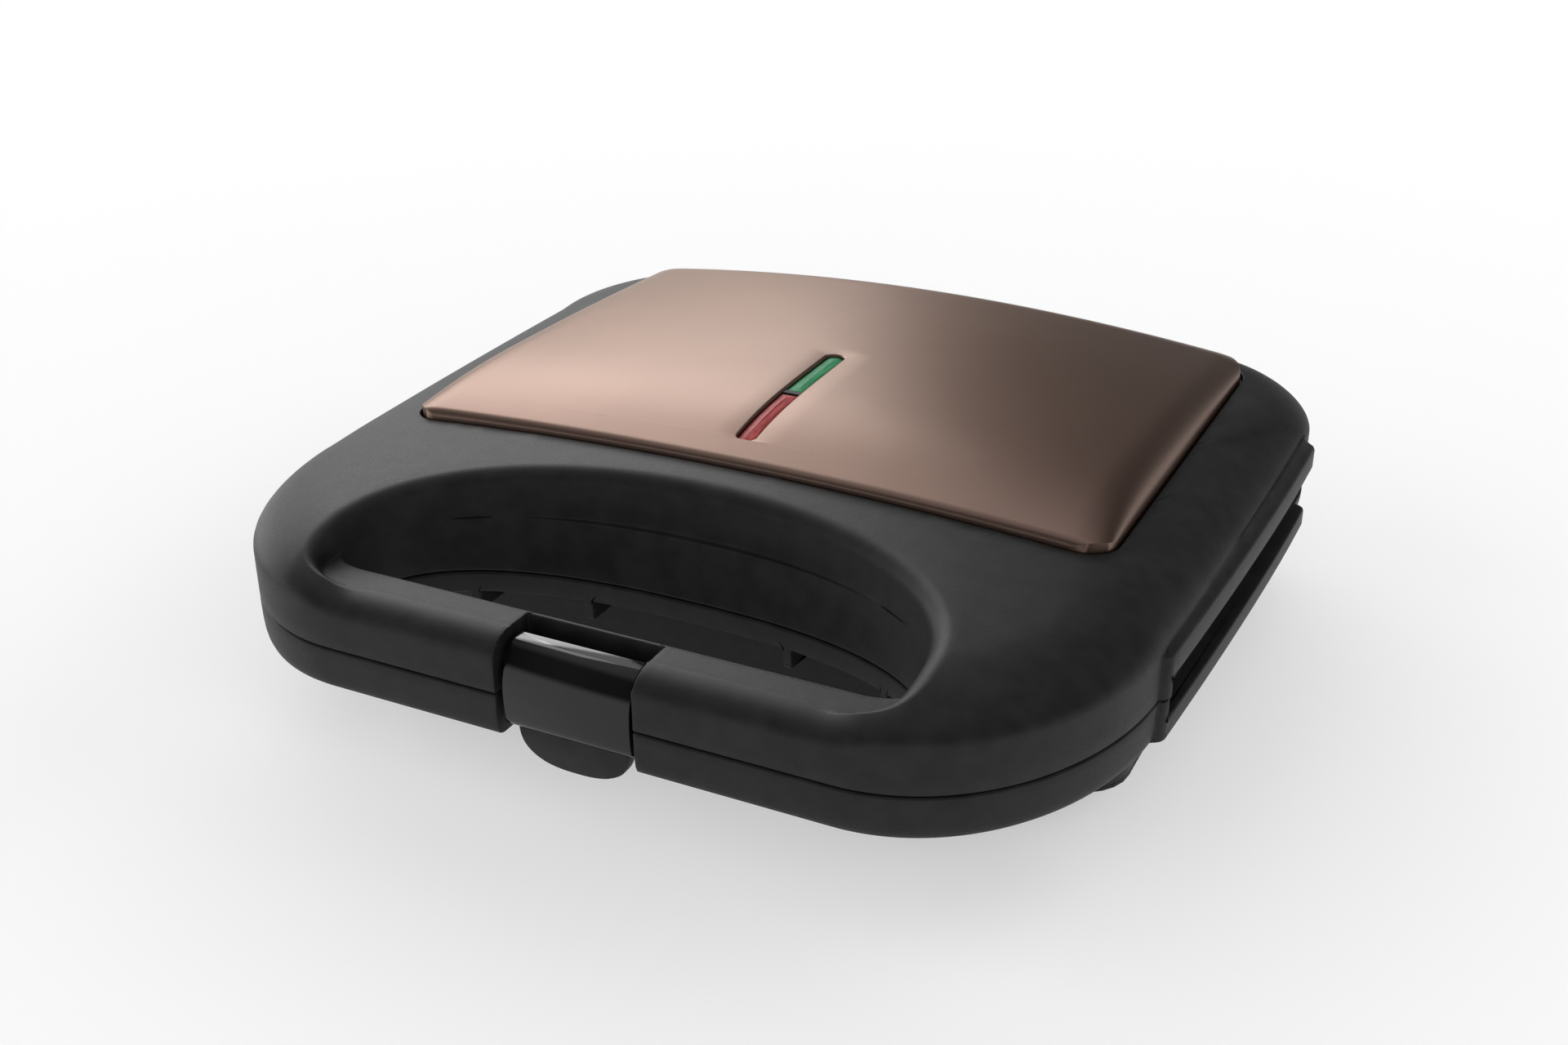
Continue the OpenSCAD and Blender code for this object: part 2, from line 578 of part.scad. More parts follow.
window_half = concat(
    [for (i = [0:n_trim_front + n_trim_corner - 1]) let(a = -90 + 90 * i / (n_trim_front + n_trim_corner))
        [slot_half_w * cos(a), slot_front + slot_half_w * (1 + sin(a))]],
    [for (i = [0:n_trim_side - 1]) [slot_half_w, lerp(slot_front, slot_back, 0.1 + 0.8 * i / n_trim_side)]],
    [for (i = [0:n_trim_front + n_trim_corner]) let(a = 90 * i / (n_trim_front + n_trim_corner))
        [slot_half_w * cos(a), slot_back - slot_half_w * (1 - sin(a))]]);
window = both_halves(window_half);
window_n = ring_normals(window);
trim_edge = trim_plan(0);
trim_inner = trim_plan(-trim_t);
function trim_ring(edge, t, drop) = [for (i = [0:len(edge) - 1]) trim_skin(lerp(edge[i], window[i], t), drop)];

module trim_cover() color("#a98873") in_place() ring_body(concat(
    [at_z(trim_edge, trim_seat + 0.2)],
    [for (t = [0, 0.008, 0.025, 0.05, 0.09, 0.2, 0.4, 0.7, 1]) trim_ring(trim_edge, t, 0)],
    [for (t = [1, 0.6, 0.25, 0.07, 0]) trim_ring(trim_inner, t, trim_t)],
    [at_z(trim_inner, trim_seat + 0.2)]));

// ---- indicator: dark holder with a divider, two lamps and two lenses in the window ----
lamp_mid = (slot_front + slot_back) / 2;
lens_play = 0.3;
module window_slab(y0, y1, z0, z1) intersection() {
    slab([for (i = [0:len(window) - 1]) window[i] - window_n[i] * lens_play], z0, z1);
    translate([-10, y0, z0]) cube([20, y1 - y0, z1 - z0]);
}

module lamp_holder() color("#101011") in_place() difference() {
    union() {
        translate([-7, slot_front - 4, trim_seat + 0.05]) cube([14, slot_back - slot_front + 8, 8.5]);
        translate([-slot_half_w + lens_play, lamp_mid - 1, trim_seat + 1])
            cube([2 * (slot_half_w - lens_play), 2, 14.6]);
    }
    translate([-5.4, slot_front - 2, trim_seat + 1.2]) cube([10.8, lamp_mid - slot_front + 0.6, 20]);
    translate([-5.4, lamp_mid + 1.4, trim_seat + 1.2]) cube([10.8, lamp_mid - slot_front + 0.6, 20]);
}

module lens(y0, y1) {
    window_slab(y0, y1, trim_seat + 9, trim_seat + 13.9);
    translate([-4.6, y0, trim_seat + 8]) cube([9.2, y1 - y0, 2]);
}
module red_lens() color("#d2414c") in_place() lens(slot_front + lens_play, lamp_mid - 1.4);
module green_lens() color("#1f9a55") in_place() lens(lamp_mid + 1.4, slot_back - lens_play);

module lamps() color("#e8e4da") in_place() for (y = [lamp_mid - 16, lamp_mid + 16])
    translate([0, y, trim_seat + 4.4]) rotate([-90, 0, 0]) {
        translate([0, 0, -7]) cylinder(h = 14, r = 2.4);
        translate([0, 0, 7]) sphere(r = 2.4);
    }

module latch_pin() color("#b4b4b4") in_place()
    x_rod(-notch_w / 2 - 4.8, notch_w / 2 + 4.8, latch_y, latch_z, latch_pin_d / 2);

// ---- latch body ----
latch_half = 17;
// Outside of the curved cover from its top edge to its lower edge, and the same line further in
cover_out = [[10.6, 12.9], [8.7, 12.4], [6.9, 11.7], [5.0, 10.6], [3.4, 9.0], [2.0, 6.9], [1.2, 4.1],
    [0.9, 0.5], [1.1, -3.4], [1.7, -7.6], [2.1, -9]];
cover_in = [[4.1, -9], [3.7, -7.6], [3.1, -3.4], [2.9, 0.5], [3.2, 3.6], [3.9, 5.9], [4.9, 7.5],
    [6.1, 8.9], [7.6, 9.8], [9.3, 10.4], [10.9, 10.9]];
module latch_cover() color("#0b0b0c") in_place()
    x_profile(-latch_half, latch_half, concat(cover_out, cover_in));

arm_half = 14;
tab_half = 15.5;
tab_top = -9.5;
tab_bottom = -19.8;
// Lower edge of the pull tab, seen from the front: a squared half ellipse
function tab_edge(a) = [tab_half * (cos(a) < 0 ? -1 : 1) * pow(abs(cos(a)), 0.8),
    tab_top - (tab_top - tab_bottom) * pow(sin(a), 0.8)];
module latch_arm() color("#1b1b1c") in_place() difference() {
    union() {
        x_rod(-arm_half, arm_half, latch_y, latch_z, 3);
        // stem, then the hook that snaps behind the catch
        x_profile(-arm_half, arm_half, [[latch_y - 2.9, latch_z + 0.6], [4.9, 4.6], [4.0, 0.5], [4.2, -4],
            [4.4, -9.2], [4.2, -11], [13.6, -12.2], [13.6, -10.9], [7.6, -10.2], [7.2, -4], [7.4, 0.6],
            [latch_y, latch_z - 2.9]]);
        // pull tab
        intersection() {
            x_profile(-latch_half, latch_half, [[3.4, tab_top + 0.3], [7.6, tab_top + 0.3], [6.8, tab_bottom],
                [4.2, tab_bottom]]);
            translate([0, 20, 0]) rotate([90, 0, 0]) linear_extrude(30)
                polygon([for (i = [0:16]) tab_edge(180 * i / 16)]);
        }
    }
    x_rod(-arm_half - 1, arm_half + 1, latch_y, latch_z, latch_pin_d / 2 + turn_fit);
}

base_housing();
latch_catch();
cord_gland();
bottom_cover();
cover_screws();
feet();
hinge_pins();
lower_cooking_plate();
lower_heating_element();
lower_heat_reflector();
lower_plate_screws();
thermostat();
terminal_block();
lid_housing();
trim_cover();
lamp_holder();
lamps();
red_lens();
green_lens();
upper_cooking_plate();
upper_heating_element();
upper_heat_reflector();
upper_plate_screws();
thermal_fuse();
latch_pin();
latch_arm();
latch_cover();
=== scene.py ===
"""Looks of a sandwich toaster: black housings, a bronze trim cover with its indicator, and a swing latch.

Shapes are worked out in millimetres in the drawing frame: x to the right, y = 0 at the front face of
the handle and z = 0 at the seam between lid and base. to_frame() turns them into the row's metres.
"""
import json
import math

import bmesh
import bpy
import numpy as np
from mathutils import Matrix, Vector


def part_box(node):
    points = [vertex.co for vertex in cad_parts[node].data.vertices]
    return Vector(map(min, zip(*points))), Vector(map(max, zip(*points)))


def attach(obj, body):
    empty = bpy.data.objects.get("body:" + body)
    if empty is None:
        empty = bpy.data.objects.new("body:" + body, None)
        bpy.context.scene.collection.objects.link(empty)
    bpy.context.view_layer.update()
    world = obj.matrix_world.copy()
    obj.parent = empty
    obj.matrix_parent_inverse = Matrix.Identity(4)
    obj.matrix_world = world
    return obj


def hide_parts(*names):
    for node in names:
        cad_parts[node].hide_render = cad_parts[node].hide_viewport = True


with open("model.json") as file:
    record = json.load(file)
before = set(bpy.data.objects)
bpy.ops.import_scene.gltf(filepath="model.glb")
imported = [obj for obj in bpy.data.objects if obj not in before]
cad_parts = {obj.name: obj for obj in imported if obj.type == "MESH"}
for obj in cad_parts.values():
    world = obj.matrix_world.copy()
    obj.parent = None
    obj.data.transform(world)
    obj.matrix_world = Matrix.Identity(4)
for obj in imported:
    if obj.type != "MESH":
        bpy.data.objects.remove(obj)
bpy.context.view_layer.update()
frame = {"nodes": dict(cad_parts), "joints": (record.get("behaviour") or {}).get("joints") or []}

MM = 0.001
joint_at = {joint["name"]: joint["pos_m"] for joint in frame["joints"]}
HINGE_BELOW_SEAM = 1.0
FRONT_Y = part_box("lid_housing")[0][1]
SEAM_Z = joint_at["lid_hinge"][2] + HINGE_BELOW_SEAM * MM


# ---------------------------------------------------------------- sizes, in millimetres
BODY_W, BODY_D = 259.0, 246.0
HALF_FLAT = 70.0                   # half the straight front of the handle
CORNER_W, CORNER_D = 56.0, 72.0    # front corner ellipse
REAR_R = 36.0
BASE_H = 12.3                      # handle half carried by the base
LID_H = 14.8                       # handle half carried by the lid
SEAM_GAP = 0.3
EDGE_ANGLE, EDGE_ROUND = 38, 0.35  # housing edges sharper than this angle, in degrees, are rounded
BAR_D, BAR_SHOULDER_H = 18.0, 9.0
BAR_ROLL, RIDGE_FRONT = 8.0, 6.0   # how far back the bar's front roll ends, at its middle and at its ends
BAR_END, BAR_RAMP = 64.0, 21.0     # where the bar starts to rise into the corners, and over what width
FINGER_W, FINGER_BACK = 158.0, 61.0
FINGER_POWER, FINGER_TOP_POWER = 2.4, 2.1  # of the opening's superellipse, at the seam and at its rim
UNDERCUT_FRONT, UNDERCUT_HALF = 32.0, 86.0
RIBS, HALF_RIB = (-61, -30, 30, 61), 1.2   # between the pockets under the opening's rim
NOTCH_W, NOTCH_D = 38.4, 16.0
SHOULDER_H, EDGE_RUN, BACK_RUN = 12.5, 24.0, 11.0
BACK_SHOULDER_H = SHOULDER_H + 3.5
RIM_R = 5.0
TRIM_W, TRIM_D, TRIM_FRONT = 210.0, 150.0, 86.0
TRIM_CROWN, TRIM_T, TRIM_GAP, TRIM_SEAT = 36.8, 1.4, 0.9, 20.5
TRIM_R, TRIM_REAR_R, TRIM_PROUD = 9.5, 14.0, 0.5
ROLL_SIDE, ROLL_FRONT, ROLL_BACK = 10, 1.8, 8  # widths of the cover's edge rolls
WINDOW_FRONT, WINDOW_BACK, WINDOW_HALF = 94.5, 156.5, 2.9
LENS_PLAY, HALF_DIVIDER = 0.3, 1.4
LIPS_W, LIP_FRONT, LIP_BACK, BASE_LIP_BACK = 265.6, 66.6, 208.0, 204.0
LIP_SLOT, LIP_H, LIP_BAR, LIP_ROOT = 5.5, 7.1, 5.2, 120.0
LIP_TAPER, LIP_WIDEST = 4.8, 190.0  # how far the lip draws in at its front, and how far back it is widest
TO_ROOT = 9                         # inset in a lip's section that stands for the lip's root
BASE_SLOT = 6.0
PLATE_W, PLATE_D, PLATE_FRONT = 234.0, 148.0, 83.5
RIM_BOTTOM = -6.3
TUB_HALF, TUB_FRONT, TUB_BACK, TUB_BOTTOM, TUB_R = 116.0, 71.0, BODY_D - 6, -34.0, 14.0
HINGE_Y, HINGE_Z, KNUCKLE_R = BODY_D + 6, -HINGE_BELOW_SEAM, 5.0
HINGE_INNER, HINGE_OUTER, KNUCKLE_W = 66.0, 100.0, 18.0
LATCH_Y, LATCH_Z, LATCH_PIN_R, LATCH_HALF = 9.0, 6.2, 1.5, 17.8

# steps along the outline, and how many of the corner's steps the finger opening's own corner takes
STEPS = {"front": 40, "corner": 64, "side": 28, "rear": 24, "back": 24}
FINGER_CORNER_STEPS = 24
FINGER_CORNER_Y = BAR_D + 6


# ---------------------------------------------------------------- camera, light and stage
def make_camera():
    camera = bpy.data.objects.new("camera", bpy.data.cameras.new("camera"))
    bpy.context.collection.objects.link(camera)
    camera.location = (0.21143, -0.43818, 0.27643)
    camera.rotation_euler = [math.radians(angle) for angle in (63.754, 0.203, 26.127)]
    camera.data.sensor_width = 36
    camera.data.lens = 42.18
    bpy.context.scene.camera = camera


LAMP_DISTANCE = 2.2  # metres


def softbox(name, azimuth, elevation, radiance, matt=False):
    """Lamp between two azimuths, from +y towards -x, and two elevations, in degrees.

    It lights either the matt colours or the reflections.
    """
    mid_az, mid_el = (math.radians(sum(span) / 2) for span in (azimuth, elevation))
    place = LAMP_DISTANCE * Vector((-math.sin(mid_az) * math.cos(mid_el), math.cos(mid_az) * math.cos(mid_el),
                                    math.sin(mid_el)))
    light = bpy.data.lights.new(name, "AREA")
    light.shape = "RECTANGLE"
    width = math.radians(azimuth[1] - azimuth[0]) * LAMP_DISTANCE * math.cos(mid_el)
    height = math.radians(elevation[1] - elevation[0]) * LAMP_DISTANCE
    light.size, light.size_y = width, height
    light.energy = radiance * math.pi * width * height
    lamp = bpy.data.objects.new(name, light)
    bpy.context.collection.objects.link(lamp)
    lamp.location = place
    lamp.rotation_euler = (-place).to_track_quat("-Z", "Y").to_euler()
    lamp.visible_camera = False
    lamp.visible_diffuse = matt
    lamp.visible_glossy = not matt


def show_white(nodes, links, plain, white, output, value, start, end, least=0.0):
    """Fade from least to white as value runs from start to end.

    Only camera rays and reflected or transmitted ones meet the white. It casts no light on matt surfaces.
    """
    path = nodes.new("ShaderNodeLightPath")
    seen = path.outputs["Is Camera Ray"]
    for kind in ("Is Glossy Ray", "Is Transmission Ray"):
        either = nodes.new("ShaderNodeMath")
        either.operation = "MAXIMUM"
        links.new(seen, either.inputs[0])
        links.new(path.outputs[kind], either.inputs[1])
        seen = either.outputs[0]
    fade = nodes.new("ShaderNodeMapRange")
    fade.inputs["From Min"].default_value = start
    fade.inputs["From Max"].default_value = end
    fade.inputs["To Min"].default_value = least
    links.new(value, fade.inputs["Value"])
    share = nodes.new("ShaderNodeMath")
    share.operation = "MULTIPLY"
    links.new(fade.outputs["Result"], share.inputs[0])
    links.new(seen, share.inputs[1])
    mix = nodes.new("ShaderNodeMixShader")
    links.new(share.outputs[0], mix.inputs[0])
    links.new(plain, mix.inputs[1])
    links.new(white, mix.inputs[2])
    links.new(mix.outputs[0], output)


def light_scene():
    """Softboxes behind the left side give the long sheen, and four round about light the matt colours."""
    softbox("strip_middle", (22, 45), (18, 38), 5.2)
    softbox("strip_left", (45, 65), (18, 38), 5.2)
    softbox("upper_middle", (25, 45), (38, 62), 1.4)
    softbox("upper_left", (45, 65), (38, 62), 3.1)
    softbox("low_left", (65, 90), (1, 18), 4.3)
    softbox("side_left", (65, 90), (18, 38), 1.4)
    softbox("low_side", (90, 125), (1, 18), 1.6)
    for azimuth in (0, 90, 180, 270):
        softbox("round_%d" % azimuth, (azimuth, azimuth + 80), (8, 44), 2.2, matt=True)
    # the room is dim round about and brighter overhead, and looks white near the horizon
    world = bpy.data.worlds.new("studio")
    bpy.context.scene.world = world
    world.use_nodes = True
    nodes, links = world.node_tree.nodes, world.node_tree.links
    direction = nodes.new("ShaderNodeTexCoord")
    split = nodes.new("ShaderNodeSeparateXYZ")
    ramp = nodes.new("ShaderNodeValToRGB")
    ramp.color_ramp.interpolation = "EASE"
    for element, position, grey in zip(ramp.color_ramp.elements, (0.6, 0.9), (0.08, 1.0)):
        element.position = position
        element.color = (grey, grey, grey, 1)
    links.new(direction.outputs["Generated"], split.inputs[0])
    links.new(split.outputs["Z"], ramp.inputs["Fac"])
    links.new(ramp.outputs["Color"], nodes["Background"].inputs["Color"])
    nodes["Background"].inputs["Strength"].default_value = 0.6
    white = nodes.new("ShaderNodeBackground")
    white.inputs["Color"].default_value = (1, 1, 1, 1)
    show_white(nodes, links, nodes["Background"].outputs[0], white.outputs[0],
               nodes["World Output"].inputs["Surface"], split.outputs["Z"], start=0.2, end=0.08)


def make_floor():
    """White floor that keeps the object's shadow, and looks plain white from a metre away."""
    mesh = bpy.data.meshes.new("floor")
    reach = 60.0
    mesh.from_pydata([(-reach, -reach, 0), (reach, -reach, 0), (reach, reach, 0), (-reach, reach, 0)],
                     [], [(0, 1, 2, 3)])
    floor = bpy.data.objects.new("floor", mesh)
    bpy.context.collection.objects.link(floor)
    material, shader = new_material("floor_white")
    shader.inputs["Base Color"].default_value = (0.93, 0.93, 0.93, 1)
    shader.inputs["Roughness"].default_value = 0.9
    shader.inputs["Specular IOR Level"].default_value = 0.0
    nodes, links = material.node_tree.nodes, material.node_tree.links
    place = nodes.new("ShaderNodeTexCoord")
    distance = nodes.new("ShaderNodeVectorMath")
    distance.operation = "LENGTH"
    links.new(place.outputs["Object"], distance.inputs[0])
    white = nodes.new("ShaderNodeEmission")
    show_white(nodes, links, shader.outputs[0], white.outputs[0], nodes["Material Output"].inputs["Surface"],
               distance.outputs["Value"], start=0.5, end=1.1, least=0.35)
    mesh.materials.append(material)


# ---------------------------------------------------------------- material helpers
def new_material(name):
    material = bpy.data.materials.new(name)
    material.use_nodes = True
    return material, material.node_tree.nodes["Principled BSDF"]


class Nodes:
    """Short calls for the nodes that the materials share."""

    def __init__(self, material):
        self.nodes = material.node_tree.nodes
        self.links = material.node_tree.links
        self.coord = self.nodes.new("ShaderNodeTexCoord")

    def noise(self, scale, detail=2.0, stretch=(1, 1, 1), rough=0.5):
        mapping = self.nodes.new("ShaderNodeMapping")
        mapping.inputs["Scale"].default_value = stretch
        self.links.new(self.coord.outputs["Object"], mapping.inputs["Vector"])
        noise = self.nodes.new("ShaderNodeTexNoise")
        noise.inputs["Scale"].default_value = scale
        noise.inputs["Detail"].default_value = detail
        noise.inputs["Roughness"].default_value = rough
        self.links.new(mapping.outputs[0], noise.inputs["Vector"])
        return noise.outputs["Fac"]

    def drive(self, socket, value, low, high, start=0.3, end=0.7):
        """Feed the socket with two colours or grey levels, mixed as value runs from start to end."""
        ramp = self.nodes.new("ShaderNodeValToRGB")
        ramp.color_ramp.elements[0].position = start
        ramp.color_ramp.elements[1].position = end
        for element, colour in zip(ramp.color_ramp.elements, (low, high)):
            element.color = (*colour, 1) if isinstance(colour, tuple) else (colour, colour, colour, 1)
        self.links.new(value, ramp.inputs["Fac"])
        self.links.new(ramp.outputs["Color"], socket)

    def bump(self, shader, heights, depth_mm, strength=1.0):
        """Bump from one height, or from the sum of several weighted heights."""
        total = None
        for height, weight in heights:
            scaled = self.nodes.new("ShaderNodeMath")
            scaled.operation = "MULTIPLY"
            self.links.new(height, scaled.inputs[0])
            scaled.inputs[1].default_value = weight
            if total is None:
                total = scaled.outputs[0]
                continue
            added = self.nodes.new("ShaderNodeMath")
            added.operation = "ADD"
            self.links.new(total, added.inputs[0])
            self.links.new(scaled.outputs[0], added.inputs[1])
            total = added.outputs[0]
        bump = self.nodes.new("ShaderNodeBump")
        bump.inputs["Strength"].default_value = strength
        bump.inputs["Distance"].default_value = depth_mm * MM
        self.links.new(total, bump.inputs["Height"])
        self.links.new(bump.outputs["Normal"], shader.inputs["Normal"])


# ---------------------------------------------------------------- materials
def black_plastic():
    """Moulded plastic with a fine spark-eroded grain."""
    material, shader = new_material("black_plastic")
    n = Nodes(material)
    grain = n.noise(2600, 3.0)
    mottle = n.noise(160, 2.0)
    n.drive(shader.inputs["Base Color"], mottle, (0.0045, 0.0045, 0.0046), (0.0078, 0.0078, 0.0082), 0.35, 0.65)
    n.drive(shader.inputs["Roughness"], grain, 0.48, 0.6)
    shader.inputs["Specular IOR Level"].default_value = 0.3
    n.bump(shader, [(grain, 1.0), (n.noise(900, 1.0), 0.6)], 0.03, 0.6)
    return material


def bronze_paint():
    """Metallic bronze coating under a thin clear coat."""
    material, shader = new_material("bronze_paint")
    n = Nodes(material)
    flake = n.noise(4200, 1.0)
    cloud = n.noise(30, 2.0)
    n.drive(shader.inputs["Base Color"], cloud, (0.18, 0.112, 0.087), (0.196, 0.123, 0.095))
    n.drive(shader.inputs["Roughness"], flake, 0.36, 0.44)
    shader.inputs["Metallic"].default_value = 0.95
    shader.inputs["Specular Tint"].default_value = (0.5, 0.42, 0.36, 1)
    shader.inputs["Coat Weight"].default_value = 0.65
    shader.inputs["Coat Roughness"].default_value = 0.35
    n.bump(shader, [(flake, 1.0)], 0.004, 0.5)
    return material


def gloss_black():
    """High-gloss cover with the faintest waviness."""
    material, shader = new_material("gloss_black")
    n = Nodes(material)
    wave = n.noise(60, 1.0)
    n.drive(shader.inputs["Base Color"], wave, (0.003, 0.003, 0.003), (0.005, 0.005, 0.005))
    n.drive(shader.inputs["Roughness"], n.noise(1500, 2.0), 0.07, 0.12)
    shader.inputs["Specular IOR Level"].default_value = 0.4
    n.bump(shader, [(wave, 1.0)], 0.01, 0.05)
    return material


def tinted_lens(name, deep, light):
    """Translucent moulded lens, with fine flutes along its underside showing through."""
    material, shader = new_material(name)
    n = Nodes(material)
    flutes = n.noise(1500, 2.0, (1, 0.12, 1))
    n.drive(shader.inputs["Base Color"], flutes, deep, light, 0.35)
    n.drive(shader.inputs["Roughness"], n.noise(2200, 1.0), 0.34, 0.44)
    shader.inputs["Specular IOR Level"].default_value = 0.08
    shader.inputs["Subsurface Weight"].default_value = 0.25
    shader.inputs["Subsurface Scale"].default_value = 1.0 * MM
    return material


def rubber():
    material, shader = new_material("rubber")
    n = Nodes(material)
    grain = n.noise(1400, 3.0)
    n.drive(shader.inputs["Base Color"], grain, (0.012, 0.012, 0.012), (0.022, 0.022, 0.022))
    n.drive(shader.inputs["Roughness"], grain, 0.7, 0.85)
    n.bump(shader, [(grain, 1.0)], 0.04, 0.5)
    return material


def steel(name, low, high, rough, streak=(1, 1, 1)):
    material, shader = new_material(name)
    n = Nodes(material)
    lines = n.noise(900, 3.0, streak)
    n.drive(shader.inputs["Base Color"], lines, low, high)
    n.drive(shader.inputs["Roughness"], lines, rough, rough + 0.12)
    shader.inputs["Metallic"].default_value = 1.0
    n.bump(shader, [(lines, 1.0)], 0.01, 0.4)
    return material


def non_stick():
    """Dark coating on cast aluminium, with its fine speckle."""
    material, shader = new_material("non_stick")
    n = Nodes(material)
    speckle = n.noise(1500, 4.0, rough=0.7)
    orange_peel = n.noise(420, 1.0)
    n.drive(shader.inputs["Base Color"], speckle, (0.018, 0.018, 0.019), (0.05, 0.05, 0.052), 0.52, 0.72)
    n.drive(shader.inputs["Roughness"], orange_peel, 0.32, 0.46)
    shader.inputs["Metallic"].default_value = 0.25
    n.bump(shader, [(speckle, 0.4), (orange_peel, 1.0)], 0.02, 0.5)
    return material


def pale_plastic(name, low, high):
    material, shader = new_material(name)
    n = Nodes(material)
    n.drive(shader.inputs["Base Color"], n.noise(300, 2.0), low, high)
    n.drive(shader.inputs["Roughness"], n.noise(1200, 2.0), 0.4, 0.55)
    n.bump(shader, [(n.noise(1800, 2.0), 1.0)], 0.01, 0.4)
    return material


def lamp_glass():
    material, shader = new_material("lamp_glass")
    n = Nodes(material)
    n.drive(shader.inputs["Roughness"], n.noise(200, 1.0), 0.04, 0.1)
    shader.inputs["Base Color"].default_value = (0.95, 0.92, 0.86, 1)
    shader.inputs["Transmission Weight"].default_value = 0.8
    return material


# ---------------------------------------------------------------- plane geometry
def lerp(a, b, t):
    return a + (b - a) * t


def smooth(t):
    s = np.clip(t, 0, 1)
    return s * s * (3 - 2 * s)


def steps(count):
    """count values from 0 up to, but not at, 1."""
    return np.arange(count) / count


def both_halves(half):
    """Closed ring from its right half, which runs from the front centre to the back centre."""
    left = half[-2:0:-1] * (-1, 1)
    return np.vstack([half, left])


def normals_of(ring):
    along = np.roll(ring, -1, axis=0) - np.roll(ring, 1, axis=0)
    out = np.column_stack([along[:, 1], -along[:, 0]])
    return out / np.linalg.norm(out, axis=1, keepdims=True)


def outline_half():
    corner = np.radians(-90 + 90 * steps(STEPS["corner"]))
    rear = np.radians(90 * steps(STEPS["rear"]))
    side = steps(STEPS["side"])
    half_w, side_back = BODY_W / 2, BODY_D - REAR_R
    t_back = np.append(steps(STEPS["back"]), 1.0)
    return np.vstack([
        np.column_stack([HALF_FLAT * steps(STEPS["front"]), np.zeros(STEPS["front"])]),
        np.column_stack([HALF_FLAT + CORNER_W * np.cos(corner), CORNER_D * (1 + np.sin(corner))]),
        np.column_stack([lerp(HALF_FLAT + CORNER_W, half_w, 1 - (1 - side) ** 2),
                         lerp(CORNER_D, side_back, side)]),
        np.column_stack([half_w - REAR_R * (1 - np.cos(rear)), side_back + REAR_R * np.sin(rear)]),
        np.column_stack([(half_w - REAR_R) * (1 - t_back), np.full(len(t_back), BODY_D)])])


def finger_half(half_w, front, back, power):
    """Right half of the finger opening, with one point for each point of the outline."""
    corner_r = 11
    corner = np.radians(-90 + 90 * steps(FINGER_CORNER_STEPS))
    along_back = np.radians(np.concatenate([
        22 * steps(STEPS["corner"] - FINGER_CORNER_STEPS),
        lerp(22, 45, steps(STEPS["side"])),
        lerp(45, 60, steps(STEPS["rear"])),
        lerp(60, 90, np.append(steps(STEPS["back"]), 1.0))]))
    cos_back = np.clip(np.cos(along_back), 0, 1)
    return np.vstack([
        np.column_stack([(half_w - corner_r) * steps(STEPS["front"]), np.full(STEPS["front"], front)]),
        np.column_stack([half_w - corner_r + corner_r * np.cos(corner),
                         FINGER_CORNER_Y + (FINGER_CORNER_Y - front) * np.sin(corner)]),
        np.column_stack([half_w * cos_back ** (2 / power),
                         FINGER_CORNER_Y + (back - FINGER_CORNER_Y) * np.sin(along_back) ** (2 / power)])])


OUTLINE = both_halves(outline_half())
OUTLINE_N = normals_of(OUTLINE)
FINGER = both_halves(finger_half(FINGER_W / 2, BAR_D, FINGER_BACK, FINGER_POWER))
FINGER_TOP = both_halves(finger_half(FINGER_W / 2 + 2, BAR_D - 0.6, FINGER_BACK + 10, FINGER_TOP_POWER))
FINGER_N = normals_of(FINGER)


def ridge_half():
    """Where the lid's outer skin ends: at the front roll of the bar, and round the finger opening."""
    rim = (FINGER_TOP + FINGER_N * RIM_R)[:len(outline_half())]
    start = STEPS["front"] + FINGER_CORNER_STEPS
    x = HALF_FLAT * steps(STEPS["front"])
    bar = np.column_stack([x, lerp(BAR_ROLL, RIDGE_FRONT, smooth((x - HALF_FLAT + 12) / 12))])
    angle = np.radians(-90 + 90 * steps(FINGER_CORNER_STEPS))
    reach = rim[start][0] - HALF_FLAT
    corner = np.column_stack([
        HALF_FLAT + reach * np.cos(angle).clip(0) ** (2 / 2.8),
        FINGER_CORNER_Y - (FINGER_CORNER_Y - RIDGE_FRONT) * np.abs(np.sin(angle)) ** (2 / 2.8)])
    return np.vstack([bar, corner, rim[start:]])


RIDGE = both_halves(ridge_half())
RIDGE_N = normals_of(RIDGE)


def rounded(x0, x1, y0, y1, r, count=10):
    """Rounded rectangle, anticlockwise."""
    points = []
    centres = ((x1 - r, y0 + r, -90), (x1 - r, y1 - r, 0), (x0 + r, y1 - r, 90), (x0 + r, y0 + r, 180))
    for cx, cy, start in centres:
        for i in range(count + 1):
            angle = math.radians(start + 90 * i / count)
            points.append((cx + r * math.cos(angle), cy + r * math.sin(angle)))
    return np.array(points)


# ---------------------------------------------------------------- mesh helpers
def to_frame(points):
    points = np.asarray(points, float)
    return points * MM + (0, FRONT_Y, SEAM_Z)


def new_piece(name, points, faces, material):
    mesh = bpy.data.meshes.new(name)
    mesh.from_pydata(to_frame(points).tolist(), [], faces)
    mesh.validate()
    mesh.materials.append(material)
    piece = bpy.data.objects.new(name, mesh)
    bpy.context.collection.objects.link(piece)
    return piece


def ring_solid(name, rings, material, capped=False):
    """Quads between rings. The last ring joins the first, or both ends are capped."""
    count, size = len(rings), len(rings[0])
    faces = []
    for j in range(count if not capped else count - 1):
        for i in range(size):
            a, b = j * size + i, j * size + (i + 1) % size
            c, d = ((j + 1) % count) * size + (i + 1) % size, ((j + 1) % count) * size + i
            faces.append((a, b, c, d))
    if capped:
        faces.append(tuple(reversed(range(size))))
        faces.append(tuple(range((count - 1) * size, count * size)))
    return new_piece(name, np.vstack(rings), faces, material)


def at_z(ring, z):
    return np.column_stack([ring, np.full(len(ring), z)])


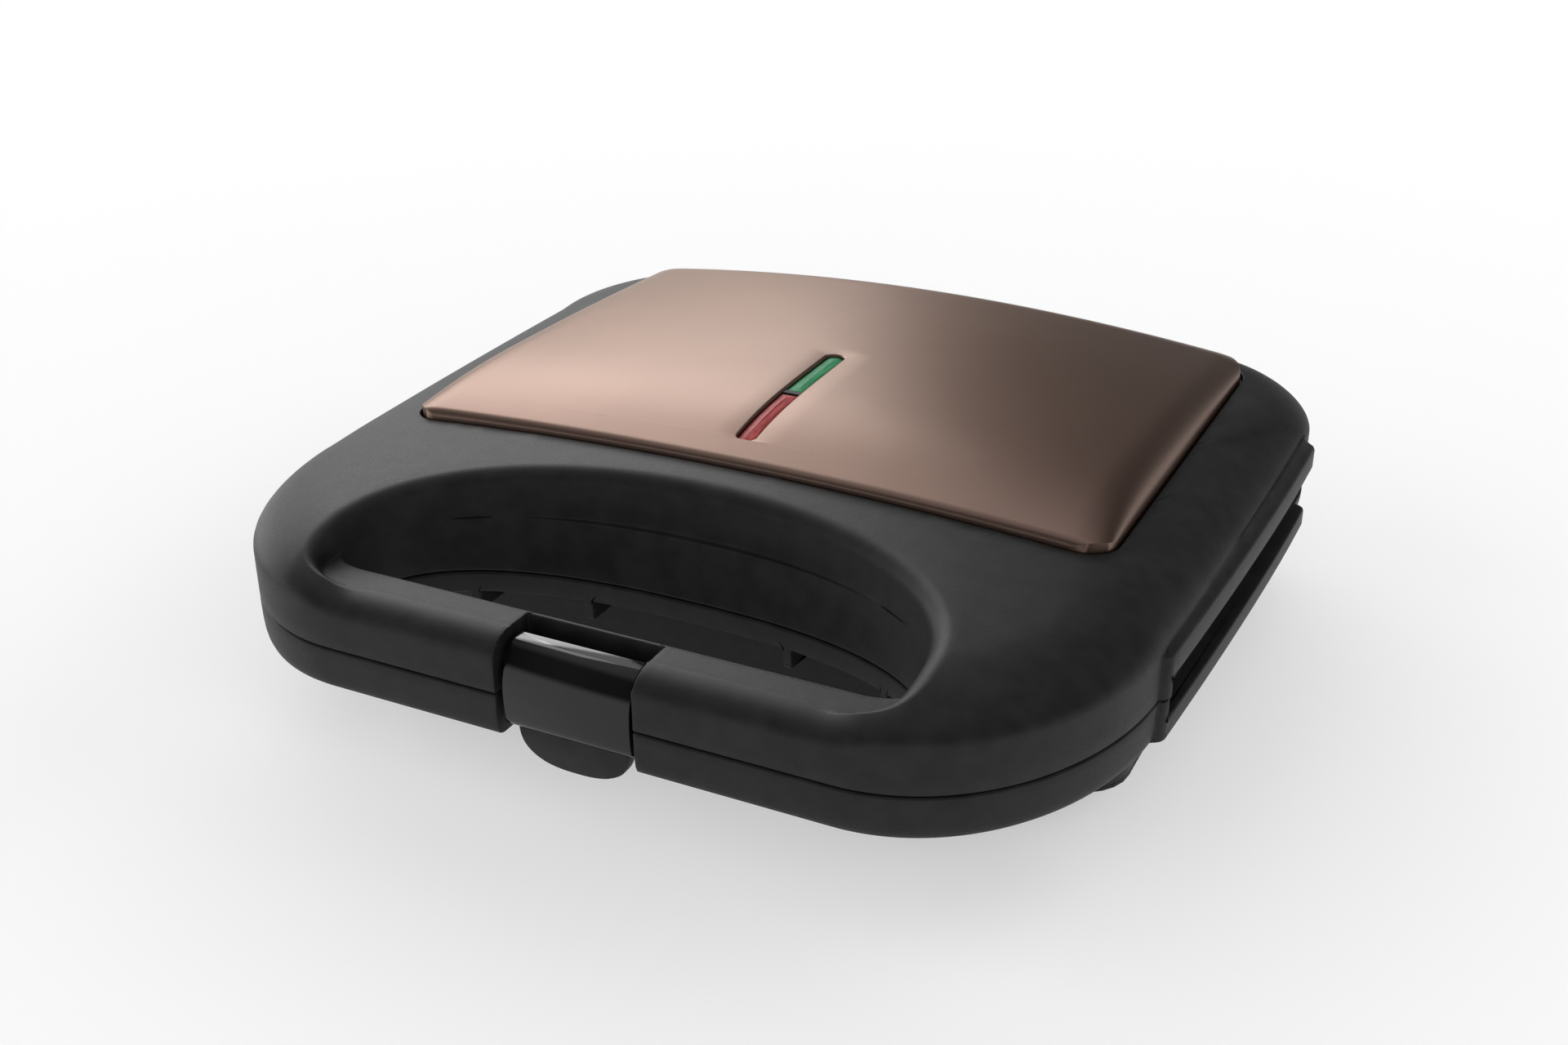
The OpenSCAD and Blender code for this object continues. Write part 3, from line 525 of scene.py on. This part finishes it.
def slab(name, outline, z0, z1, material):
    return ring_solid(name, [at_z(outline, z0), at_z(outline, z1)], material, capped=True)


def x_profile(name, x0, x1, yz, material):
    yz = np.asarray(yz, float)
    rings = [np.column_stack([np.full(len(yz), x), yz]) for x in (x0, x1)]
    return ring_solid(name, rings, material, capped=True)


def circle(y, z, r, count=48):
    angle = 2 * np.pi * steps(count)
    return np.column_stack([y + r * np.cos(angle), z + r * np.sin(angle)])


def x_rod(name, x0, x1, y, z, r, material):
    return x_profile(name, x0, x1, circle(y, z, r), material)


def apply_modifiers(piece):
    evaluated = piece.evaluated_get(bpy.context.evaluated_depsgraph_get())
    mesh = bpy.data.meshes.new_from_object(evaluated)
    piece.modifiers.clear()
    old = piece.data
    piece.data = mesh
    bpy.data.meshes.remove(old)


def combine(piece, others, operation):
    """Boolean of the piece with each of the others, which are used up."""
    for other in others:
        modifier = piece.modifiers.new("boolean", "BOOLEAN")
        modifier.operation = operation
        modifier.solver = "EXACT"
        modifier.object = other
        apply_modifiers(piece)
        mesh = other.data
        bpy.data.objects.remove(other)
        bpy.data.meshes.remove(mesh)


def finish_surface(piece, sharp_deg, bevel_mm=0.0):
    """Merge slivers, round the sharp edges and shade smooth between them."""
    shape = bmesh.new()
    shape.from_mesh(piece.data)
    bmesh.ops.remove_doubles(shape, verts=shape.verts, dist=0.08 * MM)
    bmesh.ops.recalc_face_normals(shape, faces=shape.faces)
    shape.to_mesh(piece.data)
    shape.free()
    if bevel_mm:
        bevel = piece.modifiers.new("edges", "BEVEL")
        bevel.width = bevel_mm * MM
        bevel.segments = 3
        bevel.limit_method = "ANGLE"
        bevel.angle_limit = math.radians(sharp_deg)
        bevel.use_clamp_overlap = False
        apply_modifiers(piece)
    for polygon in piece.data.polygons:
        polygon.use_smooth = True
    piece.data.set_sharp_from_angle(angle=math.radians(sharp_deg))


def dress(piece, body, slot, *nodes):
    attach(piece, body)
    if nodes:
        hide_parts(*nodes)


# ---------------------------------------------------------------- lid
def on_crown(points):
    """0 on the handle bar, 1 on the crowned body."""
    return np.where(points[:, 1] > FINGER_CORNER_Y, 1.0, smooth((np.abs(points[:, 0]) - BAR_END) / BAR_RAMP))


def crown(points):
    x, y = points[:, 0], points[:, 1]
    ahead, behind = np.maximum(0, TRIM_FRONT - y), np.maximum(0, y - TRIM_FRONT)
    return 29.3 - 4.2e-4 * x * x - 7e-4 * ahead ** 2 - 0.013 * behind


def skin(points):
    """Height of the lid's skin over points that lie on the columns from the outline inwards."""
    q, q0 = on_crown(points), on_crown(OUTLINE)
    deck = lerp(LID_H, crown(points), q)
    back = np.maximum(0, OUTLINE_N[:, 1]) ** 2
    wall = lerp(lerp(BAR_SHOULDER_H, SHOULDER_H, q0), BACK_SHOULDER_H, back)
    run = lerp(lerp(BAR_ROLL, EDGE_RUN, q0), BACK_RUN, back)
    inside = np.maximum(0, ((OUTLINE - points) * OUTLINE_N).sum(axis=1))
    return wall + (deck - wall) * np.sqrt(1 - (1 - np.minimum(1, inside / run)) ** 2)


def lifted(points):
    return np.column_stack([points, skin(points)])


def lid_rings():
    bottom = SEAM_GAP / 2
    run = RIDGE - OUTLINE
    length = np.linalg.norm(run, axis=1, keepdims=True)
    z_ridge = skin(RIDGE)
    r = np.clip(0.7 * (z_ridge - LID_H) + 0.3, 0.3, RIM_R)
    lean = np.radians(np.interp(r, (0.3, 2.0, RIM_R), (20, 72, 84)))

    def from_edge(t):
        return OUTLINE + run / length * np.minimum(EDGE_RUN * t * t, 0.6 * t ** 1.5 * length)

    def wall_at(z):
        """Plan of the finger opening's leaning wall at a height, for each column."""
        t = np.clip((z - bottom) / (z_ridge - RIM_R - bottom), 0, 1)
        return lerp(FINGER, FINGER_TOP, t[:, None])

    rings = [at_z(OUTLINE - OUTLINE_N * 0.6, bottom), at_z(OUTLINE - OUTLINE_N * 0.18, bottom + 0.15),
             at_z(OUTLINE, bottom + 0.6)]
    rings += [np.column_stack([OUTLINE, lerp(bottom + 0.6, skin(OUTLINE), t)]) for t in (0.35, 0.7)]
    rings += [lifted(from_edge(t)) for t in np.linspace(0, 1, 15)]
    last = from_edge(1)
    rings += [lifted(lerp(last, RIDGE, t)) for t in np.linspace(0, 1, 9)[1:]]
    for k in range(1, 9):
        angle = lean * k / 8
        inward = r * np.sin(angle) + 0.1 * k * (r < 1)
        rings.append(np.column_stack([RIDGE - RIDGE_N * inward[:, None], z_ridge - r * (1 - np.cos(angle))]))
    # the bar's flat top starts at the foot of the end walls; elsewhere these rings run down the wall
    end, shelf = rings[-1], wall_at(np.full(len(r), LID_H))
    width = np.linalg.norm(shelf - end[:, :2], axis=1)
    foot = lerp(end[:, :2], shelf, np.clip(1.6 / width, 0, 1)[:, None])
    on_wall = smooth((3.2 - width) / 1.6)[:, None]
    drop = end[:, 2] - LID_H
    for t, fall in ((0.3, 0.62), (0.62, 0.88), (1.0, 1.0)):
        z = end[:, 2] - drop * fall
        rings.append(np.column_stack([lerp(lerp(end[:, :2], foot, t), wall_at(z), on_wall), z]))
    for t in (0.33, 0.66, 0.93):
        rings.append(at_z(lerp(foot, shelf, t), LID_H - 0.15 * t))
    rings.append(at_z(lerp(foot, shelf, 0.99), LID_H - 0.35))
    rings += [at_z(wall_at(np.full(len(r), z)), z) for z in (LID_H - 0.9, 9.0, 4.5, bottom + 0.5)]
    rings.append(at_z(FINGER + FINGER_N * 0.5, bottom))
    return rings


def lip_x(y):
    return LIPS_W / 2 - LIP_TAPER * np.maximum(0, (LIP_WIDEST - y) / (LIP_WIDEST - LIP_FRONT)) ** 1.6


def lip_solid(name, side, y0, y1, section, material):
    """Sweep a section of (inset, z) points along the bulging lip, whose ends are rounded."""
    rings = []
    round_end = [(0, 2.4), (0.5, 1.2), (1.2, 0.45), (2.4, 0)]
    end_length = round_end[-1][0]
    stations = [(y0 + step, pull) for step, pull in round_end]
    stations += [(lerp(y0 + end_length, y1 - end_length, t), 0) for t in np.linspace(0.04, 0.96, 25)]
    stations += [(y1 - step, pull) for step, pull in reversed(round_end)]
    for y, pull in stations:
        edge = lip_x(y)
        ring = [(side * (max(LIP_ROOT, edge - inset - pull) if inset < TO_ROOT else LIP_ROOT), y, z)
                for inset, z in section]
        rings.append(np.array(ring))
    if side < 0:
        rings = [ring[::-1] for ring in rings]
    return ring_solid(name, [ring[::-1] for ring in rings], material, capped=True)


def lip_sections():
    """Sections of the lid's lip and its leg, and of the base's lip and its leg."""
    top, low, seam = LIP_SLOT + LIP_H, -BASE_H + 0.4, SEAM_GAP / 2
    lid = [(TO_ROOT, LIP_SLOT), (0.4, LIP_SLOT), (0, LIP_SLOT + 0.4), (0, top - 0.9), (0.3, top - 0.3),
           (0.9, top), (2.2, top + 0.8), (3.6, top + 2.0), (TO_ROOT, top + 2.4)]
    leg = [(TO_ROOT, seam), (0.4, seam), (0, seam + 0.4), (0, LIP_SLOT + 1), (TO_ROOT, LIP_SLOT + 1)]
    base = [(TO_ROOT, low), (0.9, low), (0.4, low + 0.4), (0.3, low + 0.9), (0.3, -BASE_SLOT - 0.4),
            (0.7, -BASE_SLOT), (TO_ROOT, -BASE_SLOT)]
    base_leg = [(TO_ROOT, -BASE_SLOT - 1), (0.3, -BASE_SLOT - 1), (0.3, -seam - 0.4), (0.7, -seam),
                (TO_ROOT, -seam)]
    return lid, leg, base, base_leg


def knuckle_span():
    inner = (HINGE_INNER + HINGE_OUTER - KNUCKLE_W) / 2
    return inner, inner + KNUCKLE_W


def side_slot(side, z0, z1, material):
    x0, x1 = sorted((side * (BODY_W / 2 - 6), side * (BODY_W / 2 + 14)))
    y0, y1 = LIP_FRONT + LIP_BAR, BODY_D + 60
    return slab("cut", np.array([(x0, y0), (x1, y0), (x1, y1), (x0, y1)]), z0, z1, material)


def plate_opening(z0, z1, material):
    half, y0, y1 = PLATE_W / 2 + 1, PLATE_FRONT - 1, PLATE_FRONT + PLATE_D + 1
    return slab("cut", rounded(-half, half, y0, y1, 19), z0, z1, material)


def notch(z0, z1, material):
    half = NOTCH_W / 2
    outline = np.array([(-half, -3), (half, -3), (half, NOTCH_D), (-half, NOTCH_D)])
    return slab("cut", outline, z0, z1, material)


def make_lid(material):
    lid = ring_solid("lid_shell", lid_rings(), material)
    lid_lip, lid_leg, _, _ = lip_sections()
    x0, x1 = knuckle_span()
    bottom = SEAM_GAP / 2 + 0.2
    added = []
    for side in (1, -1):
        added.append(lip_solid("lip", side, LIP_FRONT, LIP_BACK, lid_lip, material))
        added.append(lip_solid("leg", side, LIP_FRONT, LIP_FRONT + LIP_BAR, lid_leg, material))
        span = sorted((side * x0, side * x1))
        added.append(x_rod("knuckle", *span, HINGE_Y, HINGE_Z, KNUCKLE_R, material))
        added.append(x_profile("arm", *span, [(BODY_D - 4, bottom), (HINGE_Y - 3, bottom), (HINGE_Y + 3, 2.5),
                                              (BODY_D - 2, 9)], material))
    combine(lid, added, "UNION")
    cuts = [plate_opening(-8, 11.5, material), slab("cut", trim_plan(TRIM_GAP), TRIM_SEAT, 60, material),
            notch(-2, 28, material)]
    for side in (1, -1):
        cuts.append(side_slot(side, -2, LIP_SLOT, material))
    cuts.append(x_rod("cut", -NOTCH_W / 2 - 5, NOTCH_W / 2 + 5, LATCH_Y, LATCH_Z, LATCH_PIN_R, material))
    combine(lid, cuts, "DIFFERENCE")
    finish_surface(lid, EDGE_ANGLE, EDGE_ROUND)
    dress(lid, "lid", "housing_plastic", "lid_housing")


# ---------------------------------------------------------------- base
def base_rings():
    top = -SEAM_GAP / 2
    profile = [(3.4, -BASE_H), (2.4, -BASE_H + 0.15), (1.6, -BASE_H + 0.5), (0.9, -11.2), (0.45, -10),
               (0.2, -8.5), (0.05, -6), (0, -3), (0, top - 0.6), (0.18, top - 0.15), (0.6, top)]
    rings = [at_z(OUTLINE - OUTLINE_N * inset, z) for inset, z in profile]
    rings += [at_z(FINGER + FINGER_N * 0.4, top), at_z(FINGER, top - 0.4)]
    rings += [at_z(FINGER + FINGER_N * 0.8 * t, lerp(top, -BASE_H, t)) for t in (0.3, 0.6, 0.95)]
    rings.append(at_z(FINGER + FINGER_N * 1.5, -BASE_H))
    return rings


def make_base(material):
    base = ring_solid("base_shell", base_rings(), material)
    _, _, base_lip, base_leg = lip_sections()
    x0, x1 = knuckle_span()
    play = 0.35
    added = [slab("tub", rounded(-TUB_HALF, TUB_HALF, TUB_FRONT, TUB_BACK, TUB_R), TUB_BOTTOM, -5, material)]
    for side in (1, -1):
        added.append(lip_solid("lip", side, LIP_FRONT, BASE_LIP_BACK, base_lip, material))
        added.append(lip_solid("leg", side, LIP_FRONT, LIP_FRONT + LIP_BAR, base_leg, material))
        for near, far in ((HINGE_INNER, x0 - play), (x1 + play, HINGE_OUTER)):
            span = sorted((side * near, side * far))
            added.append(x_rod("knuckle", *span, HINGE_Y, HINGE_Z, KNUCKLE_R, material))
            added.append(x_profile("arm", *span, [(BODY_D - 3, -9.5), (HINGE_Y + 1, -5), (HINGE_Y, HINGE_Z),
                                                  (BODY_D - 3, HINGE_Z - 0.5)], material))
    combine(base, added, "UNION")
    wall = 2.5
    inner = rounded(-TUB_HALF + wall, TUB_HALF - wall, TUB_FRONT + wall, TUB_BACK - wall, TUB_R - wall)
    cuts = [plate_opening(-4.6, 5, material), slab("cut", inner, TUB_BOTTOM - 1, -4.59, material),
            notch(-BASE_H - 2, 2, material)]
    cuts += undercuts(material)
    for side in (1, -1):
        cuts.append(side_slot(side, -BASE_SLOT, 2, material))
    combine(base, cuts, "DIFFERENCE")
    finish_surface(base, EDGE_ANGLE, EDGE_ROUND)
    dress(base, "base", "housing_plastic", "base_housing")


def undercuts(material):
    """Pockets behind the finger opening and under its rim, one between each two ribs."""
    behind = FINGER[FINGER[:, 1] > UNDERCUT_FRONT]
    edges = [-UNDERCUT_HALF] + [x + s * HALF_RIB for x in RIBS for s in (-1, 1)] + [UNDERCUT_HALF]
    cuts = []
    for x0, x1 in zip(edges[::2], edges[1::2]):
        along = sorted((tuple(p) for p in behind if x0 < p[0] < x1), key=lambda p: p[0])
        outline = [(x1, TUB_FRONT - 0.01), (x0, TUB_FRONT - 0.01), (x0, finger_back_at(x0)), *along,
                   (x1, finger_back_at(x1))]
        cuts.append(slab("cut", np.array(outline), -BASE_H - 1, RIM_BOTTOM, material))
    return cuts


def finger_back_at(x):
    """Where the back of the finger opening lies at x, or the undercut's front beside it."""
    reach = abs(x) / (FINGER_W / 2)
    if reach >= 1:
        return UNDERCUT_FRONT
    depth = (FINGER_BACK - FINGER_CORNER_Y) * (1 - reach ** FINGER_POWER) ** (1 / FINGER_POWER)
    return max(UNDERCUT_FRONT, FINGER_CORNER_Y + depth)


# ---------------------------------------------------------------- trim cover and indicator
TRIM_COUNTS = {"front": 30, "corner": 12, "side": 30}


def trim_plan(grow):
    half, y0, y1 = TRIM_W / 2 + grow, TRIM_FRONT - grow, TRIM_FRONT + TRIM_D + grow
    rf, rb = TRIM_R + grow, TRIM_REAR_R + grow
    front, back = steps(TRIM_COUNTS["front"]), np.append(steps(TRIM_COUNTS["front"]), 1.0)
    corner = steps(TRIM_COUNTS["corner"])
    a_front, a_back = np.radians(-90 + 90 * corner), np.radians(90 * corner)
    side = steps(TRIM_COUNTS["side"])
    return both_halves(np.vstack([
        np.column_stack([(half - rf) * front, np.full(len(front), y0)]),
        np.column_stack([half - rf + rf * np.cos(a_front), y0 + rf + rf * np.sin(a_front)]),
        np.column_stack([np.full(len(side), half), lerp(y0 + rf, y1 - rb, side)]),
        np.column_stack([half - rb + rb * np.cos(a_back), y1 - rb + rb * np.sin(a_back)]),
        np.column_stack([(half - rb) * (1 - back), np.full(len(back), y1)])]))


def window_plan(play=0.0):
    r = WINDOW_HALF - play
    ends = TRIM_COUNTS["front"] + TRIM_COUNTS["corner"]
    a_front, a_back = np.radians(-90 + 90 * steps(ends)), np.radians(90 * np.append(steps(ends), 1.0))
    side = lerp(0.1, 0.9, steps(TRIM_COUNTS["side"]))
    front, back = WINDOW_FRONT + WINDOW_HALF, WINDOW_BACK - WINDOW_HALF
    return both_halves(np.vstack([
        np.column_stack([r * np.cos(a_front), front + r * np.sin(a_front)]),
        np.column_stack([np.full(len(side), r), lerp(WINDOW_FRONT, WINDOW_BACK, side)]),
        np.column_stack([r * np.cos(a_back), back + r * np.sin(a_back)])]))


def trim_height(points):
    x, y = points[:, 0], points[:, 1]
    ahead = np.maximum(0, (140 - y) / 54)
    behind = np.maximum(0, (y - 140) / 96)
    bend = 3.6e-4 + 3.4e-4 * (y - TRIM_FRONT) / TRIM_D
    return TRIM_CROWN - 5.6 * ahead ** 3 - 3.1 * behind ** 2 - bend * x * x


def quarter_roll(distance, width):
    """0 from the given width inwards, growing to 1 at the edge as a quarter ellipse falls."""
    t = np.clip(1 - distance / width, 0, 1)
    return 1 - np.sqrt(1 - t * t)


def trim_roll(points):
    """The cover's edges roll down until they stand just proud of the lid's skin."""
    x, y = np.abs(points[:, 0]), points[:, 1]
    kept = (1 - quarter_roll(TRIM_W / 2 - x, ROLL_SIDE)) * (1 - quarter_roll(y - TRIM_FRONT, ROLL_FRONT))
    kept *= 1 - quarter_roll(TRIM_FRONT + TRIM_D - y, ROLL_BACK)
    return np.maximum(0, trim_height(points) - crown(points) - TRIM_PROUD) * (1 - kept)


def trim_ring(plan, drop):
    return np.column_stack([plan, trim_height(plan) - trim_roll(plan) - drop])


def make_trim(material):
    edge, inner, window, foot = trim_plan(0), trim_plan(-TRIM_T), window_plan(), TRIM_SEAT + 0.2
    roll_insets = (0, 0.1, 0.3, 0.6, 1, 1.5, 2.1, 2.8, 3.7, 4.8, 6, 7.4, 9)
    flat = trim_plan(-roll_insets[-1])
    flat_steps = (0.03, 0.07, 0.12, 0.18, 0.26, 0.36, 0.48, 0.62, 0.78, 0.92)
    rings = [at_z(edge, foot)]
    rings += [trim_ring(trim_plan(-inset), 0) for inset in roll_insets]
    rings += [trim_ring(lerp(flat, window, t), 0) for t in flat_steps]
    rings += [trim_ring(lerp(flat, window, t), drop) for t, drop in ((0.993, 0.02), (0.998, 0.1), (1, 0.3))]
    rings += [trim_ring(lerp(inner, window, t), TRIM_T) for t in (1, 0.6, 0.25, 0.07, 0)]
    rings.append(at_z(inner, foot))
    trim = ring_solid("bronze_trim_cover", rings, material)
    finish_surface(trim, 50)
    dress(trim, "lid", "bronze_trim", "trim_cover")


def make_lens(name, y0, y1, material, slot):
    """Recessed pane with a low roof ridge and rounded outer end, on the flange that holds it from below."""
    plan = window_plan(LENS_PLAY)
    plan = plan[(plan[:, 1] >= y0) & (plan[:, 1] <= y1)]
    half = WINDOW_HALF - LENS_PLAY
    inner_y = y1 if y0 < (WINDOW_FRONT + WINDOW_BACK) / 2 else y0
    plan = np.vstack([plan, [(-half, inner_y), (half, inner_y)]])
    angles = np.arctan2(plan[:, 1] - (y0 + y1) / 2, plan[:, 0])
    plan = plan[np.argsort(angles)]
    spine = np.column_stack([np.zeros(len(plan)), np.clip(plan[:, 1], y0 + half, y1 - half)])
    rings = [at_z(plan, TRIM_SEAT + 9)]
    for t, drop in ((0, 1.3), (0.03, 1.05), (0.1, 0.9), (0.4, 0.75), (0.7, 0.6), (0.92, 0.5)):
        points = lerp(plan, spine, t)
        rings.append(np.column_stack([points, trim_height(points) - drop]))
    lens = ring_solid(name, rings, material, capped=True)
    flange = slab("flange", rounded(-4.6, 4.6, y0, y1, 0.8, 4), TRIM_SEAT + 8, TRIM_SEAT + 10, material)
    combine(lens, [flange], "UNION")
    finish_surface(lens, 30)
    dress(lens, "lid", slot, slot)


# ---------------------------------------------------------------- latch
def make_latch(gloss, plastic):
    outside = [(10.6, 12.9), (8.8, 12.85), (7.0, 12.6), (5.4, 11.8), (3.9, 10.1), (2.4, 7.5), (1.3, 4.3),
               (0.9, 0.5), (1.0, -3.4), (1.3, -6.6), (1.8, -8.2), (2.7, -9)]
    inside = [(4.1, -9), (3.7, -7.6), (3.1, -3.4), (2.9, 0.5), (3.2, 3.6), (3.9, 5.9), (4.9, 7.5), (6.1, 8.9),
              (7.6, 9.8), (9.3, 10.4), (10.9, 10.9)]
    profile = smooth_line(outside) + smooth_line(inside)
    cover = x_profile("latch_gloss_cover", -LATCH_HALF, LATCH_HALF, profile, gloss)
    finish_surface(cover, 40, 0.4)
    dress(cover, "latch", "latch_gloss", "latch_cover")

    arm_half, tab_half, tab_top, tab_bottom = 14.0, 15.5, -9.5, -19.8
    arm = x_rod("latch_lever", -arm_half, arm_half, LATCH_Y, LATCH_Z, 3, plastic)
    stem = x_profile("stem", -arm_half, arm_half, [
        (LATCH_Y - 2.9, LATCH_Z + 0.6), (4.9, 4.6), (4.0, 0.5), (4.2, -4), (4.4, -9.2), (4.2, -11),
        (13.6, -12.2), (13.6, -10.9), (7.6, -10.2), (7.2, -4), (7.4, 0.6), (LATCH_Y, LATCH_Z - 2.9)], plastic)
    angle = np.pi * np.linspace(0, 1, 49)
    edge = np.column_stack([
        tab_half * np.sign(np.cos(angle)) * np.abs(np.cos(angle)) ** 0.8,
        tab_top - (tab_top - tab_bottom) * np.sin(angle).clip(0) ** 0.8])
    rings = []
    for y, inset in ((3.4, 0.5), (3.55, 0.15), (3.9, 0), (7.1, 0), (7.45, 0.15), (7.6, 0.5)):
        ring = edge * (1 - inset / tab_half) + (0, tab_top * inset / tab_half)
        thin = 0.8 * (tab_top - ring[:, 1]) / (tab_top - tab_bottom)
        depth = y + np.where(y < 5.5, thin, -thin)
        rings.append(np.column_stack([ring[:, 0], depth, ring[:, 1]]))
    tab = ring_solid("tab", rings, plastic, capped=True)
    combine(arm, [stem, tab], "UNION")
    bore = x_rod("cut", -arm_half - 2, arm_half + 2, LATCH_Y, LATCH_Z, LATCH_PIN_R + 0.08, plastic)
    combine(arm, [bore], "DIFFERENCE")
    finish_surface(arm, 40, 0.3)
    dress(arm, "latch", "housing_plastic", "latch_arm")


def smooth_line(points, count=5):
    """Catmull-Rom curve through the points."""
    p = np.array([points[0]] + list(points) + [points[-1]], float)
    line = []
    for i in range(1, len(p) - 2):
        for t in steps(count):
            line.append(tuple(0.5 * (2 * p[i] + (p[i + 1] - p[i - 1]) * t
                                     + (2 * p[i - 1] - 5 * p[i] + 4 * p[i + 1] - p[i + 2]) * t * t
                                     + (3 * p[i] - p[i - 1] - 3 * p[i + 1] + p[i + 2]) * t ** 3)))
    line.append(tuple(p[-1]))
    return line


# ---------------------------------------------------------------- carried-over nodes
def coat_nodes(materials):
    for node, material in materials.items():
        mesh = frame["nodes"][node].data
        mesh.materials.clear()
        mesh.materials.append(material)


def main():
    make_camera()
    light_scene()
    make_floor()
    plastic, bronze, gloss = black_plastic(), bronze_paint(), gloss_black()
    make_lid(plastic)
    make_base(plastic)
    make_trim(bronze)
    mid = (WINDOW_FRONT + WINDOW_BACK) / 2
    make_lens("red_lens_moulded", WINDOW_FRONT + LENS_PLAY, mid - HALF_DIVIDER,
              tinted_lens("red", (0.22, 0.03, 0.03), (0.42, 0.08, 0.08)), "red_lens")
    make_lens("green_lens_moulded", mid + HALF_DIVIDER, WINDOW_BACK - LENS_PLAY,
              tinted_lens("green", (0.015, 0.16, 0.065), (0.05, 0.26, 0.12)), "green_lens")
    make_latch(gloss, plastic)
    screw = steel("screw_steel", (0.4, 0.4, 0.41), (0.62, 0.62, 0.63), 0.25)
    tube = steel("tube_steel", (0.2, 0.19, 0.18), (0.34, 0.32, 0.3), 0.42)
    sheet = steel("reflector_sheet", (0.68, 0.69, 0.7), (0.82, 0.83, 0.84), 0.22, (0.1, 1, 1))
    rubber_black, plate = rubber(), non_stick()
    nylon = pale_plastic("nylon", (0.6, 0.57, 0.48), (0.72, 0.69, 0.6))
    ceramic = pale_plastic("ceramic", (0.66, 0.62, 0.55), (0.78, 0.75, 0.68))
    coat_nodes({
        "latch_catch": plastic, "bottom_cover": plastic, "lamp_holder": plastic, "cord_gland": rubber_black,
        "feet": rubber_black, "cover_screws": screw, "hinge_pins": screw, "latch_pin": screw,
        "lower_plate_screws": screw, "upper_plate_screws": screw, "lower_cooking_plate": plate,
        "upper_cooking_plate": plate, "lower_heating_element": tube, "upper_heating_element": tube,
        "lower_heat_reflector": sheet, "upper_heat_reflector": sheet, "thermostat": ceramic,
        "terminal_block": nylon, "thermal_fuse": ceramic, "lamps": lamp_glass()})


main()
scene = bpy.context.scene
scene.view_settings.view_transform = "Standard"
bpy.context.view_layer.update()
